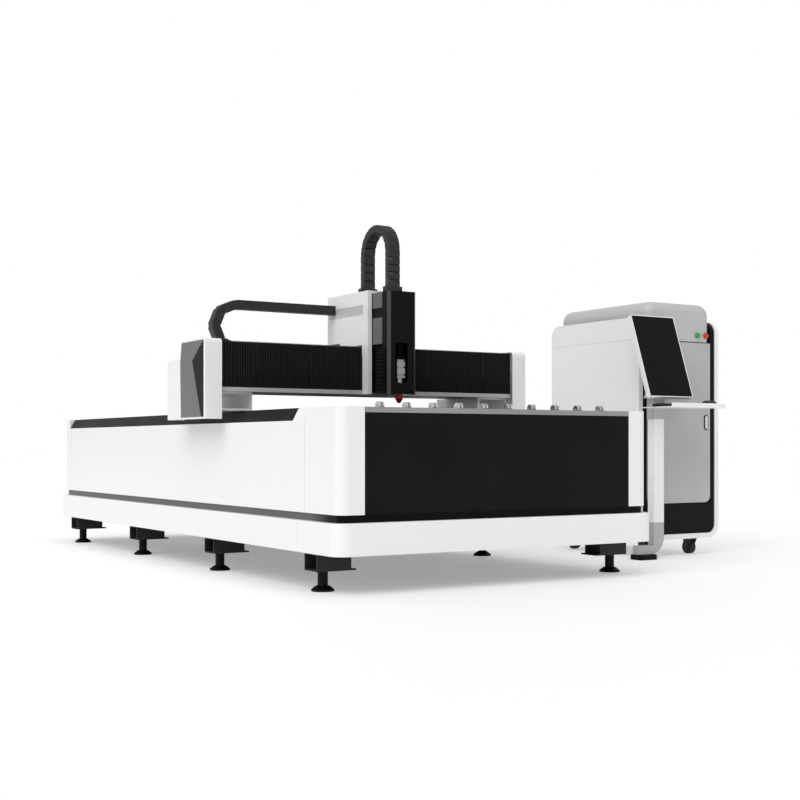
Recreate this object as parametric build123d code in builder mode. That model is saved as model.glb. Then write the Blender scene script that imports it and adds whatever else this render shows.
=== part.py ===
"""Open-bed fiber laser cutting machine with its cabinet and operator console.

Millimetres. +X to the machine's right, -Y towards the loading front, +Z up, floor at zero.
Places on the bed are measured from the skirt's front left corner.
"""
import os
from math import cos, pi, radians, sin

from build123d import *

os.makedirs("parts", exist_ok=True)

# Clearances and sheet
overrun = 5
running_gap = 0.05
seat_gap = 0.3
seam_gap = 3
sheet = 4

# Bed
bed_length = 4510
bed_width = 2090
skirt_bottom = 196
skirt_top = 361
skirt_radius = 80
corner_seam = 424
waist_inset = 14
waist_wall = 6
panel_bottom = 400
panel_inset = 27.5
panel_radius = 60
side_top = 878
corner_top = 944
corner_width = 174
corner_length = 394
front_panel_top = 914.5
sill_top = 942
sill_depth = 130

# Welded frame and feet
frame_inset = 60
frame_beam = 170
frame_wall = 10
cross_tube = 120
cross_wall = 8
foot_count = 4
first_foot = 300
foot_pitch = 1300
foot_inset = 82
bracket_setback = 12
bracket_reach = 200
bracket_width = 137
bracket_bottom = 105
bracket_wall = 8
bracket_lip = 30
pad_radius = 60
pad_edge = 10
pad_top = 28
pad_neck = 36
stem_radius = 27
stud_radius = 12
stud_nut_radius = 19
stud_nut = 18

# Loading rollers
roller_count = 10
first_roller = 299
roller_pitch = 161.7
roller_setback = 92
roller_radius = 21
roller_width = 11
roller_axis_rise = 9
roller_pin = 5
roller_ear = 9
roller_ear_width = 24

# Rail guards, rails and racks
guard_start = 540
guard_end = 4350
guard_outer = 30
guard_slope = 36
guard_inner = 76
guard_height = 68
rail_inset = 118
rail_width = 30
rail_height = 28
rack_inset = 160
rack_width = 25

# Cutting table
table_margin = 290
table_front = 220
table_length = 3190
slat_count = 30
slat_thickness = 3
slat_height = 100
slat_teeth = 14
slat_tooth = 32
slat_top = 944
carrier_width = 40
carrier_height = 60
tray_count = 3
tray_depth = 90
tray_floor = 316
tray_gap = 20

# Gantry
gantry_front = 1373
cover_width = 110
cover_reach = 115
cover_tall = 363
cover_length = 576
cover_bottom = 902
cover_top = 1372
cover_step = 1266
cover_radius = 26
cover_edge = 8
inlay = 2
inlay_margin = 12
inlay_waist_share = 0.47
inlay_lower_share = 0.10
inlay_height_share = 0.74
beam_front = 1490
beam_depth = 330
beam_bottom = 1065
beam_top = 1314
beam_wall = 12
shelf_front = 1400
shelf_height = 25
beam_rail_drop = 60
saddle_start = 1450
saddle_length = 495
saddle_width = 229
saddle_bottom = 954
saddle_wall = 12
block_width = 68
block_length = 110
block_drop = 70
block_margin = 70
drive_size = 90
drive_height = 150
gearbox_height = 70
gearbox_size = 76
drive_setback = 60

# Bellows
bellows_top = 1365
bellows_depth = 35
bellows_skin = 3
bellows_tooth = 9
bellows_end = 5
pleats = 58

# Carriage and vertical axis
carriage_left = 952
carriage_width = 276
carriage_front = 1330
carriage_depth = 520
carriage_top = 1706
carriage_floor = 1400
carriage_sill = 1371
carriage_sill_depth = 360
carriage_leg = 68
carriage_strip = 28
carriage_plate_thickness = 18
carriage_block_height = 64
band_bottom = 1560
band_height = 60
band_depth = 2
z_centre = 1091
z_housing_width = 210
z_housing_front = 1218
z_housing_bottom = 1370
z_housing_top = 1688
z_band_bottom = 1532
z_bellows_width = 190
z_pleats = 12
z_pleat_depth = 9
z_width = 204
z_front = 1146
z_bottom = 1061
z_top = 1690
z_plate_thickness = 11
z_shelf = 14
z_edge = 18
slot_centre = 1083
slot_width = 88
slot_bottom = 1130
slot_top = 1374
slot_corner = 22
head_radius = 24
head_setback = 30
head_body = 56
head_body_bottom = 1160
head_body_top = 1300
head_top = 1520
head_collar = 28
head_rings = (1178, 1224, 1264)
head_ring_height = 9
head_ring_depth = 7
nozzle_radius = 24
nozzle_lip = 28
nozzle_tip = 1007
nozzle_tip_radius = 9

# Drag chains
z_chain_pitch = 50
x_chain_pitch = 104
chain_notch = 5
z_chain_left = 1020
z_chain_width = 78
z_chain_thickness = 46
z_chain_front = 1190
z_chain_rear = 1536
z_chain_top = 2120
z_chain_foot = 28
z_chain_foot_margin = 34
x_chain_front = 1742
x_chain_width = 66
x_chain_thickness = 57
x_chain_top = 1646
x_chain_left = 90
x_chain_lower_end = 1040
x_chain_loop_end = 310
trough_wall = 3
trough_lip = 24
trough_end = 1500

# Cabinet
cabinet_gap = 668
cabinet_front = 870
cabinet_width = 729
cabinet_depth = 920
cabinet_bottom = 114
shell_top = 1600
cap_top = 1711
shell_wall = 34
shell_radius = 92
wall_corner = 80
cap_radius = 80
cap_front_radius = 60
cap_wall = 20
upper_seam = 1450
groove = 3
inner_gap = 0.3
frame_setback = 8
inner_rim = 40
rim_depth = 40
door_stop = 14
inner_wall = 14
inner_radius = 60
door_bottom = 355
door_thickness = 22
door_radius = 45
door_gap = 3
handle_left = 594
handle_width = 38
handle_height = 104
handle_bottom = 853
handle_proud = 6
handle_pocket = 12
button_radius = 19
button_stem = 11
button_proud = 14
button_travel = 4
button_height = 1498
green_button = 525
red_button = 601
source_width = 520
source_rear_gap = 110
source_height = 360
source_setback = 140
source_edge = 12

# Castors
castor_side = 157
castor_front = 95
castor_trail = 30
castor_wheel = 46
castor_wheel_width = 46
castor_axle = 5
castor_cheek = 7
castor_cheek_width = 52
castor_head = 34
castor_head_thickness = 10
castor_stem = 8
castor_stem_length = 30
castor_side_gap = 1.5
castor_edge = 6

# Console
post_left = 2797
post_width = 89
post_front = 770
post_depth = 57
post_wall = 4
boot_top = 241
boot_reach = 131
boot_radius = 110
foot_plate = 35
foot_plate_left = 2660
foot_plate_width = 150
foot_plate_front = 742
foot_plate_depth = 113
head_low = 920
head_high = 1058
head_side = 4
tray_left = 2684
tray_width = 506
tray_front = 500
tray_low = 990
tray_plate = 6
tray_lip = 30
tray_corner = 20
keyboard_width = 366
keyboard_depth = 140
keyboard_rear = 20
keyboard_front = 14
keyboard_setback = 22
mouse_left = 3066
mouse_width = 68
mouse_length = 112
mouse_height = 46
mouse_dome = 28
mouse_setback = 60
monitor_left = 2614
monitor_width = 376
monitor_height = 570
monitor_thickness = 34
monitor_edge = 10
monitor_base = 606
monitor_low = 1060
monitor_tilt = 19
screen_margin = 6
screen_proud = 1.5
pivot_rise = 150
pivot_radius = 9
pivot_boss = 16
pivot_setback = 26
pivot_width = 60
pivot_cheek = 10

# Derived places in the part's own frame
overall_right = bed_width + cabinet_gap + cabinet_width
left = -(overall_right - cover_reach - inlay) / 2
right = left + bed_width
centre = left + bed_width / 2
front = -bed_length / 2
rear = bed_length / 2
frame_top = side_top - sheet
foot_rows = [front + first_foot + index * foot_pitch for index in range(foot_count)]
cabinet_left = right + cabinet_gap
cabinet_right = cabinet_left + cabinet_width
cabinet_face = front + cabinet_front


def facing(depth):
    """Plane facing the loading front, depth behind the bed's front."""
    return Plane.XZ.offset(-(front + depth))


def span(x, y, z, mode=Mode.ADD):
    """Box between the low and high value of each axis."""
    with Locations(((x[0] + x[1]) / 2, (y[0] + y[1]) / 2, (z[0] + z[1]) / 2)):
        Box(x[1] - x[0], y[1] - y[0], z[1] - z[0], mode=mode)


def across():
    """Copy what stands on the bed's left to its right."""
    mirror(about=Plane.YZ.offset(centre))


def bed_outline(inset, radius):
    """Rounded outline of the bed, inset from the skirt, in the current sketch."""
    with Locations((centre, 0)):
        RectangleRounded(bed_width - 2 * inset, bed_length - 2 * inset, radius)


def bed_inside(inset, radius, mode=Mode.SUBTRACT):
    with Locations((centre, 0)):
        RectangleRounded(bed_width - 2 * inset, bed_length - 2 * inset, radius, mode=mode)


def keep_region(x, y):
    """Keep the part of the current sketch between the low and high of X and Y."""
    with Locations(((x[0] + x[1]) / 2, (y[0] + y[1]) / 2)):
        Rectangle(x[1] - x[0], y[1] - y[0], mode=Mode.INTERSECT)


def bent_wall(inset, radius, low, high, x, y):
    """Upright sheet along the bed's outline, cut to a region."""
    with BuildSketch(Plane.XY.offset(low)) as wall:
        bed_outline(inset, radius)
        bed_inside(inset + sheet, radius - sheet)
        keep_region(x, y)
    extrude(wall.sketch, amount=high - low)


def flange(inset, radius, low, x, y, reach):
    """Level fold of a sheet from the bed's outline in to the frame."""
    with BuildSketch(Plane.XY.offset(low)) as fold:
        bed_outline(inset, radius)
        with Locations((centre, 0)):
            Rectangle(bed_width - 2 * reach, bed_length - 2 * reach, mode=Mode.SUBTRACT)
        keep_region(x, y)
    extrude(fold.sketch, amount=sheet)


# Foot brackets: short tubes under the side beams, open to the outside, with a lip inwards
with BuildPart() as foot_brackets:
    bracket_height = skirt_bottom - bracket_bottom
    bracket_left = left + bracket_setback
    with BuildSketch(Plane.YZ.offset(bracket_left)):
        with Locations(*[(row, bracket_bottom + bracket_height / 2) for row in foot_rows]):
            Rectangle(bracket_width, bracket_height)
            Rectangle(
                bracket_width - 2 * bracket_wall, bracket_height - 2 * bracket_wall, mode=Mode.SUBTRACT
            )
    extrude(amount=bracket_reach)
    for row in foot_rows:
        span(
            (bracket_left + bracket_reach, bracket_left + bracket_reach + bracket_lip),
            (row - bracket_width / 2, row + bracket_width / 2),
            (bracket_bottom, bracket_bottom + bracket_wall),
        )
    with Locations(*[(left + foot_inset, row, bracket_bottom) for row in foot_rows]):
        Cylinder(stud_radius + seat_gap, 2 * bracket_wall + overrun, mode=Mode.SUBTRACT)
    across()

# Slat carriers: bars along both side beams and the middle, on a bar at each end
inner_left = left + frame_inset + frame_beam
table_left = left + table_margin
table_right = right - table_margin
table_low = slat_top - slat_height
with BuildPart() as slat_carrier:
    carrier_z = (table_low - carrier_height, table_low)
    carrier_y = (front + table_front, front + table_front + table_length)
    span((inner_left, inner_left + table_left - inner_left + carrier_width), carrier_y, carrier_z)
    across()
    span((centre - carrier_width / 2, centre + carrier_width / 2), carrier_y, carrier_z)
    for end in carrier_y:
        span(
            (inner_left, right - frame_inset - frame_beam),
            (end - carrier_width / 2, end + carrier_width / 2),
            (carrier_z[0] - carrier_width, carrier_z[0]),
        )

# Bed frame: two tall side beams joined by tubes, with brackets and carriers welded on
with BuildPart() as bed_frame:
    with BuildSketch(facing(frame_inset)):
        for side in (left + frame_inset + frame_beam / 2, right - frame_inset - frame_beam / 2):
            with Locations((side, (skirt_bottom + frame_top) / 2)):
                Rectangle(frame_beam, frame_top - skirt_bottom)
                Rectangle(
                    frame_beam - 2 * frame_wall,
                    frame_top - skirt_bottom - 2 * frame_wall,
                    mode=Mode.SUBTRACT,
                )
    extrude(amount=-(bed_length - 2 * frame_inset))
    tube_rows = [(row, skirt_bottom + cross_tube / 2) for row in foot_rows]
    tube_rows += [
        (side * (bed_length / 2 - frame_inset - cross_tube / 2), frame_top - cross_tube / 2)
        for side in (-1, 1)
    ]
    with BuildSketch(Plane.YZ.offset(inner_left)):
        with Locations(*tube_rows):
            Rectangle(cross_tube, cross_tube)
            Rectangle(cross_tube - 2 * cross_wall, cross_tube - 2 * cross_wall, mode=Mode.SUBTRACT)
    extrude(amount=bed_width - 2 * (frame_inset + frame_beam))
    add(foot_brackets.part)
    add(slat_carrier.part)

# Levelling feet: flared pad, thick sleeve and a stud with its nut on the bracket's floor
with BuildPart() as levelling_feet:
    low = (Align.CENTER, Align.CENTER, Align.MIN)
    foot_points = [(left + foot_inset, row, 0) for row in foot_rows]
    with Locations(*foot_points):
        Cylinder(pad_radius, pad_edge, align=low)
        Cylinder(stem_radius, bracket_bottom, align=low)
        Cylinder(stud_radius, bracket_bottom + bracket_wall + stud_nut + overrun, align=low)
    with Locations(*[(x, y, pad_edge) for x, y, z in foot_points]):
        Cone(pad_radius, pad_neck, pad_top - pad_edge, align=low)
    with BuildSketch(Plane.XY.offset(bracket_bottom + bracket_wall)):
        with Locations(*[(x, y) for x, y, z in foot_points]):
            RegularPolygon(stud_nut_radius, 6)
    extrude(amount=stud_nut)
    across()

# Skirt: folded sheets round the foot of the bed, with a seam behind each front corner
whole_width = (left, right)
with BuildPart() as skirt_front:
    skirt_end = front + corner_seam
    bent_wall(0, skirt_radius, skirt_bottom, skirt_top, whole_width, (front, skirt_end))
    flange(0, skirt_radius, skirt_top - sheet, whole_width, (front, skirt_end), frame_inset)
with BuildPart() as skirt_sides:
    skirt_start = front + corner_seam + seam_gap
    bent_wall(0, skirt_radius, skirt_bottom, skirt_top, whole_width, (skirt_start, rear))
    flange(0, skirt_radius, skirt_top - sheet, whole_width, (skirt_start, rear), frame_inset)

# Waist band: the recessed dark belt between skirt and panels
with BuildPart() as waist_band:
    with BuildSketch(Plane.XY.offset(skirt_top)):
        bed_outline(panel_inset + waist_inset, panel_radius - waist_inset)
        bed_inside(panel_inset + waist_inset + waist_wall, panel_radius - waist_inset - waist_wall)
    extrude(amount=panel_bottom - skirt_top)

# Upper side and rear panels: folded sheets hung on the side beams, the rear one with a deck
panel_start = front + corner_length + seam_gap
panel_end = rear - corner_length / 2
for_left = (left, centre)
for_right = (centre, right)


def front_shoulder_block():
    """Raised front end of the left panel, with the slope of the rail guard that it closes."""
    with BuildSketch(facing(corner_length + seam_gap)) as block:
        with BuildLine():
            Polyline(
                (left + guard_outer, side_top),
                (left + guard_outer + guard_slope, corner_top),
                (left + guard_inner, corner_top),
                (left + guard_inner, side_top),
                close=True,
            )
        make_face()
    extrude(block.sketch, amount=-(guard_start - corner_length - 2 * seam_gap))


def shoulder(x, y):
    """Raised end of a panel, which closes the end of a rail guard."""
    with BuildSketch(Plane.XY.offset(side_top)) as block:
        bed_outline(panel_inset, panel_radius)
        keep_region(x, y)
    extrude(block.sketch, amount=corner_top - side_top)


front_shoulder = (panel_start, front + guard_start - seam_gap)
rear_shoulder = (front + guard_end + seam_gap, rear)
left_shoulder = (left, left + guard_inner)
right_shoulder = (right - guard_inner, right)


def side_panel(x):
    bent_wall(panel_inset, panel_radius, panel_bottom, side_top, x, (panel_start, panel_end))
    flange(panel_inset, panel_radius, panel_bottom, x, (panel_start, panel_end), frame_inset)
    shelf_reach = frame_inset + guard_inner / 2
    flange(panel_inset, panel_radius, frame_top, x, (panel_start, panel_end), shelf_reach)


with BuildPart() as side_panel_left:
    side_panel(for_left)
    front_shoulder_block()
with BuildPart() as side_panel_right:
    side_panel(for_right)
    shoulder(right_shoulder, front_shoulder)
with BuildPart() as rear_panel:
    rear_span = (panel_end + seam_gap, rear)
    bent_wall(panel_inset, panel_radius, panel_bottom, side_top, whole_width, rear_span)
    flange(panel_inset, panel_radius, panel_bottom, whole_width, rear_span, frame_inset)
    flange(panel_inset, panel_radius, frame_top, whole_width, rear_span, frame_inset + frame_beam)
    deck_start = front + table_front + table_length + carrier_width
    span(
        (inner_left, right - frame_inset - frame_beam),
        (deck_start, rear - frame_inset),
        (frame_top, side_top),
    )
    shoulder(left_shoulder, rear_shoulder)
    shoulder(right_shoulder, rear_shoulder)


# Front corner columns: rounded sheet columns with a closed top, standing on the side beams
def corner_column(x, web):
    y = (front, front + corner_length)
    bent_wall(panel_inset, panel_radius, panel_bottom, corner_top, x, y)
    flange(panel_inset, panel_radius, panel_bottom, x, y, frame_inset)
    with BuildSketch(Plane.XY.offset(corner_top - sheet)) as lid:
        bed_outline(panel_inset, panel_radius)
        keep_region(x, y)
    extrude(lid.sketch, amount=sheet)
    span(web, (y[1] - sheet, y[1]), (frame_top, corner_top))


with BuildPart() as corner_columns:
    corner_column((left, left + corner_width), (left + panel_inset, left + corner_width))
    corner_column((right - corner_width, right), (right - corner_width, right - panel_inset))

# Front panel: the wide dark sheet between the columns, folded in at top and bottom
front_left = left + corner_width + seam_gap
front_right = right - corner_width - seam_gap
panel_face = front + panel_inset
with BuildPart() as front_panel:
    with BuildSketch(Plane.YZ.offset(front_left)):
        with BuildLine():
            Polyline(
                (front + frame_inset, panel_bottom),
                (panel_face, panel_bottom),
                (panel_face, front_panel_top),
                (front + frame_inset, front_panel_top),
                (front + frame_inset, front_panel_top - sheet),
                (panel_face + sheet, front_panel_top - sheet),
                (panel_face + sheet, panel_bottom + sheet),
                (front + frame_inset, panel_bottom + sheet),
                close=True,
            )
        make_face()
    extrude(amount=front_right - front_left)

# Front sill: a channel over the front panel that carries the loading rollers on ears and pins
roller_axis = sill_top + roller_axis_rise
roller_row = front + roller_setback
roller_places = [left + first_roller + index * roller_pitch for index in range(roller_count)]
roller_starts = (-roller_ear / 2 - seat_gap - roller_width, roller_ear / 2 + seat_gap)
pin_reach = roller_ear / 2 + seat_gap + roller_width
with BuildPart() as front_sill:
    with BuildSketch(Plane.YZ.offset(front_left)):
        with Locations((panel_face + sill_depth / 2, (front_panel_top + sill_top) / 2)):
            Rectangle(sill_depth, sill_top - front_panel_top)
            Rectangle(
                sill_depth - 2 * sheet, sill_top - front_panel_top - 2 * sheet, mode=Mode.SUBTRACT
            )
    extrude(amount=front_right - front_left)
    slot_half = roller_radius + roller_pin
    for place in roller_places:
        for start in roller_starts:
            span(
                (place + start - seat_gap, place + start + roller_width + seat_gap),
                (roller_row - slot_half, roller_row + slot_half),
                (front_panel_top + sheet, sill_top + overrun),
                mode=Mode.SUBTRACT,
            )
    for place in roller_places:
        with BuildSketch(Plane.YZ.offset(place - roller_ear / 2)) as ear_face:
            with Locations((roller_row, (sill_top + roller_axis) / 2 - sheet / 2)):
                Rectangle(roller_ear_width, roller_axis - sill_top + sheet)
            with Locations((roller_row, roller_axis)):
                Circle(roller_ear_width / 2)
        extrude(ear_face.sketch, amount=roller_ear)
        with BuildSketch(Plane.YZ.offset(place - pin_reach)) as pin_face:
            with Locations((roller_row, roller_axis)):
                Circle(roller_pin)
        extrude(pin_face.sketch, amount=2 * pin_reach)

# Loading rollers: pairs of steel discs on the sill's pins
with BuildPart() as loading_rollers:
    for place in roller_places:
        for start in roller_starts:
            with BuildSketch(Plane.YZ.offset(place + start)) as disc:
                with Locations((roller_row, roller_axis)):
                    Circle(roller_radius)
                    Circle(roller_pin + seat_gap, mode=Mode.SUBTRACT)
            extrude(disc.sketch, amount=roller_width)

# Rail guards: sloped dark channels along both sides, between the panels' shoulders
with BuildPart() as rail_guards:
    guard_top = side_top + guard_height
    with BuildSketch(facing(guard_start)):
        with BuildLine():
            Polyline(
                (left + guard_outer, side_top),
                (left + guard_outer + guard_slope, guard_top),
                (left + guard_inner, guard_top),
                (left + guard_inner, side_top),
                close=True,
            )
        make_face()
        offset(amount=-sheet, mode=Mode.SUBTRACT)
    extrude(amount=-(guard_end - guard_start))
    across()

# Linear rails and racks on the side beams
rail_start = corner_length + seam_gap
rail_length = panel_end - panel_start
with BuildPart() as y_rails:
    with BuildSketch(facing(rail_start)):
        with Locations((left + rail_inset, frame_top + rail_height / 2)):
            Rectangle(rail_width, rail_height)
        with Locations((left + rack_inset + rack_width / 2, frame_top + rack_width / 2)):
            Rectangle(rack_width, rack_width)
    extrude(amount=-rail_length)
    across()

# Cutting table: blades with pointed teeth on the carriers, trays below
slat_pitch = (table_length - slat_thickness) / slat_count
tooth = (table_right - table_left) / slat_teeth
with BuildPart() as slats:
    for index in range(slat_count):
        row = table_front + (index + 1 / 2) * slat_pitch
        points = [(table_left, table_low), (table_left, slat_top - slat_tooth)]
        for step in range(slat_teeth):
            points.append((table_left + (step + 1 / 2) * tooth, slat_top))
            points.append((table_left + (step + 1) * tooth, slat_top - slat_tooth))
        points.append((table_right, table_low))
        with BuildSketch(facing(row)) as blade:
            with BuildLine():
                Polyline(*points, close=True)
            make_face()
        extrude(blade.sketch, amount=-slat_thickness)
with BuildPart() as slag_trays:
    tray_length = (table_length - (tray_count - 1) * tray_gap) / tray_count
    tray_x = (inner_left + tray_gap, right - frame_inset - frame_beam - tray_gap)
    for index in range(tray_count):
        tray_start = front + table_front + index * (tray_length + tray_gap)
        tray_y = (tray_start, tray_start + tray_length)
        span(tray_x, tray_y, (tray_floor, tray_floor + tray_depth))
        span(
            (tray_x[0] + sheet, tray_x[1] - sheet),
            (tray_y[0] + sheet, tray_y[1] - sheet),
            (tray_floor + sheet, tray_floor + tray_depth + overrun),
            mode=Mode.SUBTRACT,
        )

# Gantry beam: a box beam across the bed, with a shelf under the bellows and a chain trough on top
gantry_left = left - cover_reach + cover_width
gantry_right = right + cover_reach - cover_width
gantry_span = gantry_right - gantry_left
with BuildPart() as gantry_beam:
    with BuildSketch(Plane.YZ.offset(gantry_left)):
        with Locations((front + beam_front + beam_depth / 2, (beam_bottom + beam_top) / 2)):
            Rectangle(beam_depth, beam_top - beam_bottom)
            Rectangle(
                beam_depth - 2 * beam_wall, beam_top - beam_bottom - 2 * beam_wall, mode=Mode.SUBTRACT
            )
        with Locations((front + (shelf_front + beam_front) / 2, beam_bottom + shelf_height / 2)):
            Rectangle(beam_front - shelf_front, shelf_height)
    extrude(amount=gantry_span)
    trough_half = x_chain_width / 2 + trough_wall + seat_gap
    trough_y = front + x_chain_front + x_chain_width / 2
    with BuildSketch(Plane.YZ.offset(gantry_left)) as trough:
        with Locations((trough_y, beam_top + trough_lip / 2)):
            Rectangle(2 * trough_half, trough_lip)
        with Locations((trough_y, beam_top + trough_lip / 2 + trough_wall)):
            Rectangle(2 * (trough_half - trough_wall), trough_lip, mode=Mode.SUBTRACT)
    extrude(trough.sketch, amount=trough_end)

# Rails and rack on the beam's front face
beam_rail_heights = (beam_bottom + beam_rail_drop, beam_top - beam_rail_drop / 2)
beam_mid = (beam_rail_heights[0] + beam_rail_heights[1]) / 2
with BuildPart() as beam_rails:
    with BuildSketch(Plane.YZ.offset(gantry_left)):
        with Locations(*[(front + beam_front - rail_height / 2, z) for z in beam_rail_heights]):
            Rectangle(rail_height, rail_width)
        with Locations((front + beam_front - rack_width / 2, beam_mid)):
            Rectangle(rack_width, rack_width)
    extrude(amount=gantry_span)

# Saddles under the beam ends, each with two bearing blocks on its rail
saddle_end = saddle_start + saddle_length
block_rows = (saddle_start + block_margin, saddle_end - block_margin)
with BuildPart() as gantry_saddles:
    with BuildSketch(facing(saddle_start)):
        with Locations((gantry_left + saddle_width / 2, (saddle_bottom + beam_bottom) / 2)):
            Rectangle(saddle_width, beam_bottom - saddle_bottom)
            Rectangle(
                saddle_width - 2 * saddle_wall,
                beam_bottom - saddle_bottom - 2 * saddle_wall,
                mode=Mode.SUBTRACT,
            )
    extrude(amount=-saddle_length)
    for row in block_rows:
        block_y = (front + row - block_length / 2, front + row + block_length / 2)
        span(
            (left + rail_inset - block_width / 2, left + rail_inset + block_width / 2),
            block_y,
            (saddle_bottom - block_drop, saddle_bottom),
        )
    rail_half = rail_width / 2 + seat_gap
    span(
        (left + rail_inset - rail_half, left + rail_inset + rail_half),
        (front + saddle_start, front + saddle_end),
        (saddle_bottom - block_drop - overrun, frame_top + rail_height + seat_gap),
        mode=Mode.SUBTRACT,
    )
    across()

# Drives: servo motor on a gearbox, upright on each saddle behind the beam
with BuildPart() as y_drives:
    drive_x = gantry_left + saddle_width / 2
    drive_y = front + saddle_end - drive_setback
    with Locations((drive_x, drive_y, beam_bottom)):
        Box(gearbox_size, gearbox_size, gearbox_height, align=low)
    with Locations((drive_x, drive_y, beam_bottom + gearbox_height)):
        Box(drive_size, drive_size, drive_height, align=low)
    fillet(edges().filter_by(Axis.Z), cover_edge)
    across()


# End covers: rounded sheet hoods over the beam ends, open inwards and below
def hood_face(plane, shrink, low_z):
    with BuildSketch(plane) as hood:
        y_low = front + gantry_front + shrink
        y_step = front + gantry_front + cover_tall - shrink
        y_high = front + gantry_front + cover_length - shrink
        with BuildLine():
            Polyline(
                (y_low, low_z),
                (y_low, cover_top - shrink),
                (y_step, cover_top - shrink),
                (y_step, cover_step - shrink),
                (y_high, cover_step - shrink),
                (y_high, low_z),
                close=True,
            )
        make_face()
        fillet(hood.vertices().group_by(Axis.Y)[-1], cover_radius - shrink)
        inner_corner = hood.vertices().sort_by_distance((y_step, cover_step - shrink))[0]
        fillet(inner_corner, cover_radius + shrink)
        outer_corner = hood.vertices().sort_by_distance((y_high, cover_step - shrink))[0]
        fillet(outer_corner, cover_radius - shrink)
    return hood.sketch


def hood():
    """Hood at the left end, from its outer face in to the beam's end."""
    face_x = left - cover_reach
    extrude(hood_face(Plane.YZ.offset(face_x), 0, cover_bottom), amount=cover_width)
    rim = faces().sort_by(Axis.X)[0].edges()
    fillet(rim.filter_by(lambda edge: edge.center().Z > cover_bottom + overrun), cover_edge)
    extrude(
        hood_face(Plane.YZ.offset(face_x + sheet), sheet, cover_bottom - overrun),
        amount=cover_width,
        mode=Mode.SUBTRACT,
    )


with BuildPart() as end_cover_left:
    hood()
with BuildPart() as end_cover_right:
    hood()
    mirror(about=Plane.YZ.offset(centre))
    split(bisect_by=Plane.YZ.offset(centre), keep=Keep.TOP)

# Inlays on the left hood: a grey field with a dark wedge along its front edge
inlay_front = front + gantry_front + inlay_margin
inlay_rear = front + gantry_front + cover_tall
inlay_low = cover_bottom + inlay_margin
inlay_high = cover_top - inlay_margin
inlay_depth = inlay_rear - inlay_front
inlay_waist = (
    inlay_front + inlay_waist_share * inlay_depth,
    inlay_low + inlay_height_share * (inlay_high - inlay_low),
)
inlay_foot = (inlay_front + inlay_lower_share * inlay_depth, inlay_low)
with BuildPart() as inlay_grey:
    with BuildSketch(Plane.YZ.offset(left - cover_reach - inlay)):
        with BuildLine():
            Polyline(
                (inlay_front, inlay_high),
                inlay_waist,
                inlay_foot,
                (inlay_rear - inlay_margin, inlay_low),
                (inlay_rear, inlay_waist[1]),
                (inlay_rear - inlay_margin * 2, inlay_high),
                close=True,
            )
        make_face()
    extrude(amount=inlay)
with BuildPart() as inlay_black:
    with BuildSketch(Plane.YZ.offset(left - cover_reach - inlay)):
        with BuildLine():
            Polyline(
                (inlay_front, inlay_high), inlay_waist, inlay_foot, (inlay_front, inlay_low), close=True
            )
        make_face()
    extrude(amount=inlay)


# Bellows: pleated skins between the hoods and the carriage
def pleated(start, end, count, low, high, skin):
    """Outline of a pleated skin from start to end, folds between low and high."""
    step = (end - start) / count
    near = []
    far = []
    for index in range(count):
        near += [(start + index * step, high), (start + (index + 1 / 2) * step, low)]
        far += [(start + index * step, high + skin), (start + (index + 1 / 2) * step, low + skin)]
    near.append((end, high))
    far.append((end, high + skin))
    return near + far[::-1]


def bellows(start, end):
    fold_low = front + shelf_front
    fold_high = fold_low + bellows_depth - bellows_skin
    shelf_top = beam_bottom + shelf_height
    with BuildSketch(Plane.XY.offset(shelf_top)) as skin:
        with BuildLine():
            Polyline(*pleated(start, end, pleats, fold_low, fold_high, bellows_skin), close=True)
        make_face()
        ends = ((start + bellows_end / 2), (end - bellows_end / 2))
        for plate in ends:
            with Locations((plate, fold_low + bellows_depth / 2)):
                Rectangle(bellows_end, bellows_depth)
    extrude(skin.sketch, amount=bellows_top - shelf_top)
    step = (end - start) / pleats
    crest = []
    for index in range(pleats):
        crest += [
            (start + index * step, bellows_top - bellows_tooth),
            (start + (index + 1 / 2) * step, bellows_top),
        ]
    crest += [(end, bellows_top - bellows_tooth), (end, bellows_top + overrun), (start, bellows_top + overrun)]
    with BuildSketch(facing(shelf_front - overrun)) as teeth:
        with BuildLine():
            Polyline(*crest, close=True)
        make_face()
    extrude(teeth.sketch, amount=-(bellows_depth + 2 * overrun), mode=Mode.SUBTRACT)


with BuildPart() as bellows_left:
    bellows(gantry_left, left + carriage_left - seat_gap)
with BuildPart() as bellows_right:
    bellows(left + carriage_left + carriage_width + seat_gap, gantry_right)

# Carriage plate: carries the vertical axis and runs on the beam's rails with four blocks
carriage_x = (left + carriage_left, left + carriage_left + carriage_width)
plate_x = (carriage_x[0] + carriage_strip, carriage_x[1] - carriage_strip)
plate_y = (front + carriage_front, front + carriage_front + carriage_plate_thickness)
with BuildPart() as carriage_plate:
    span(plate_x, plate_y, (z_bottom + z_shelf, z_housing_top))
    for rail in beam_rail_heights:
        span(
            (plate_x[0] + carriage_strip, plate_x[1] - carriage_strip),
            (plate_y[1], front + beam_front - seat_gap * 2),
            (rail - carriage_block_height / 2, rail + carriage_block_height / 2),
        )
        span(
            plate_x,
            (front + beam_front - rail_height - seat_gap, front + beam_front),
            (rail - rail_half, rail + rail_half),
            mode=Mode.SUBTRACT,
        )

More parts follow.
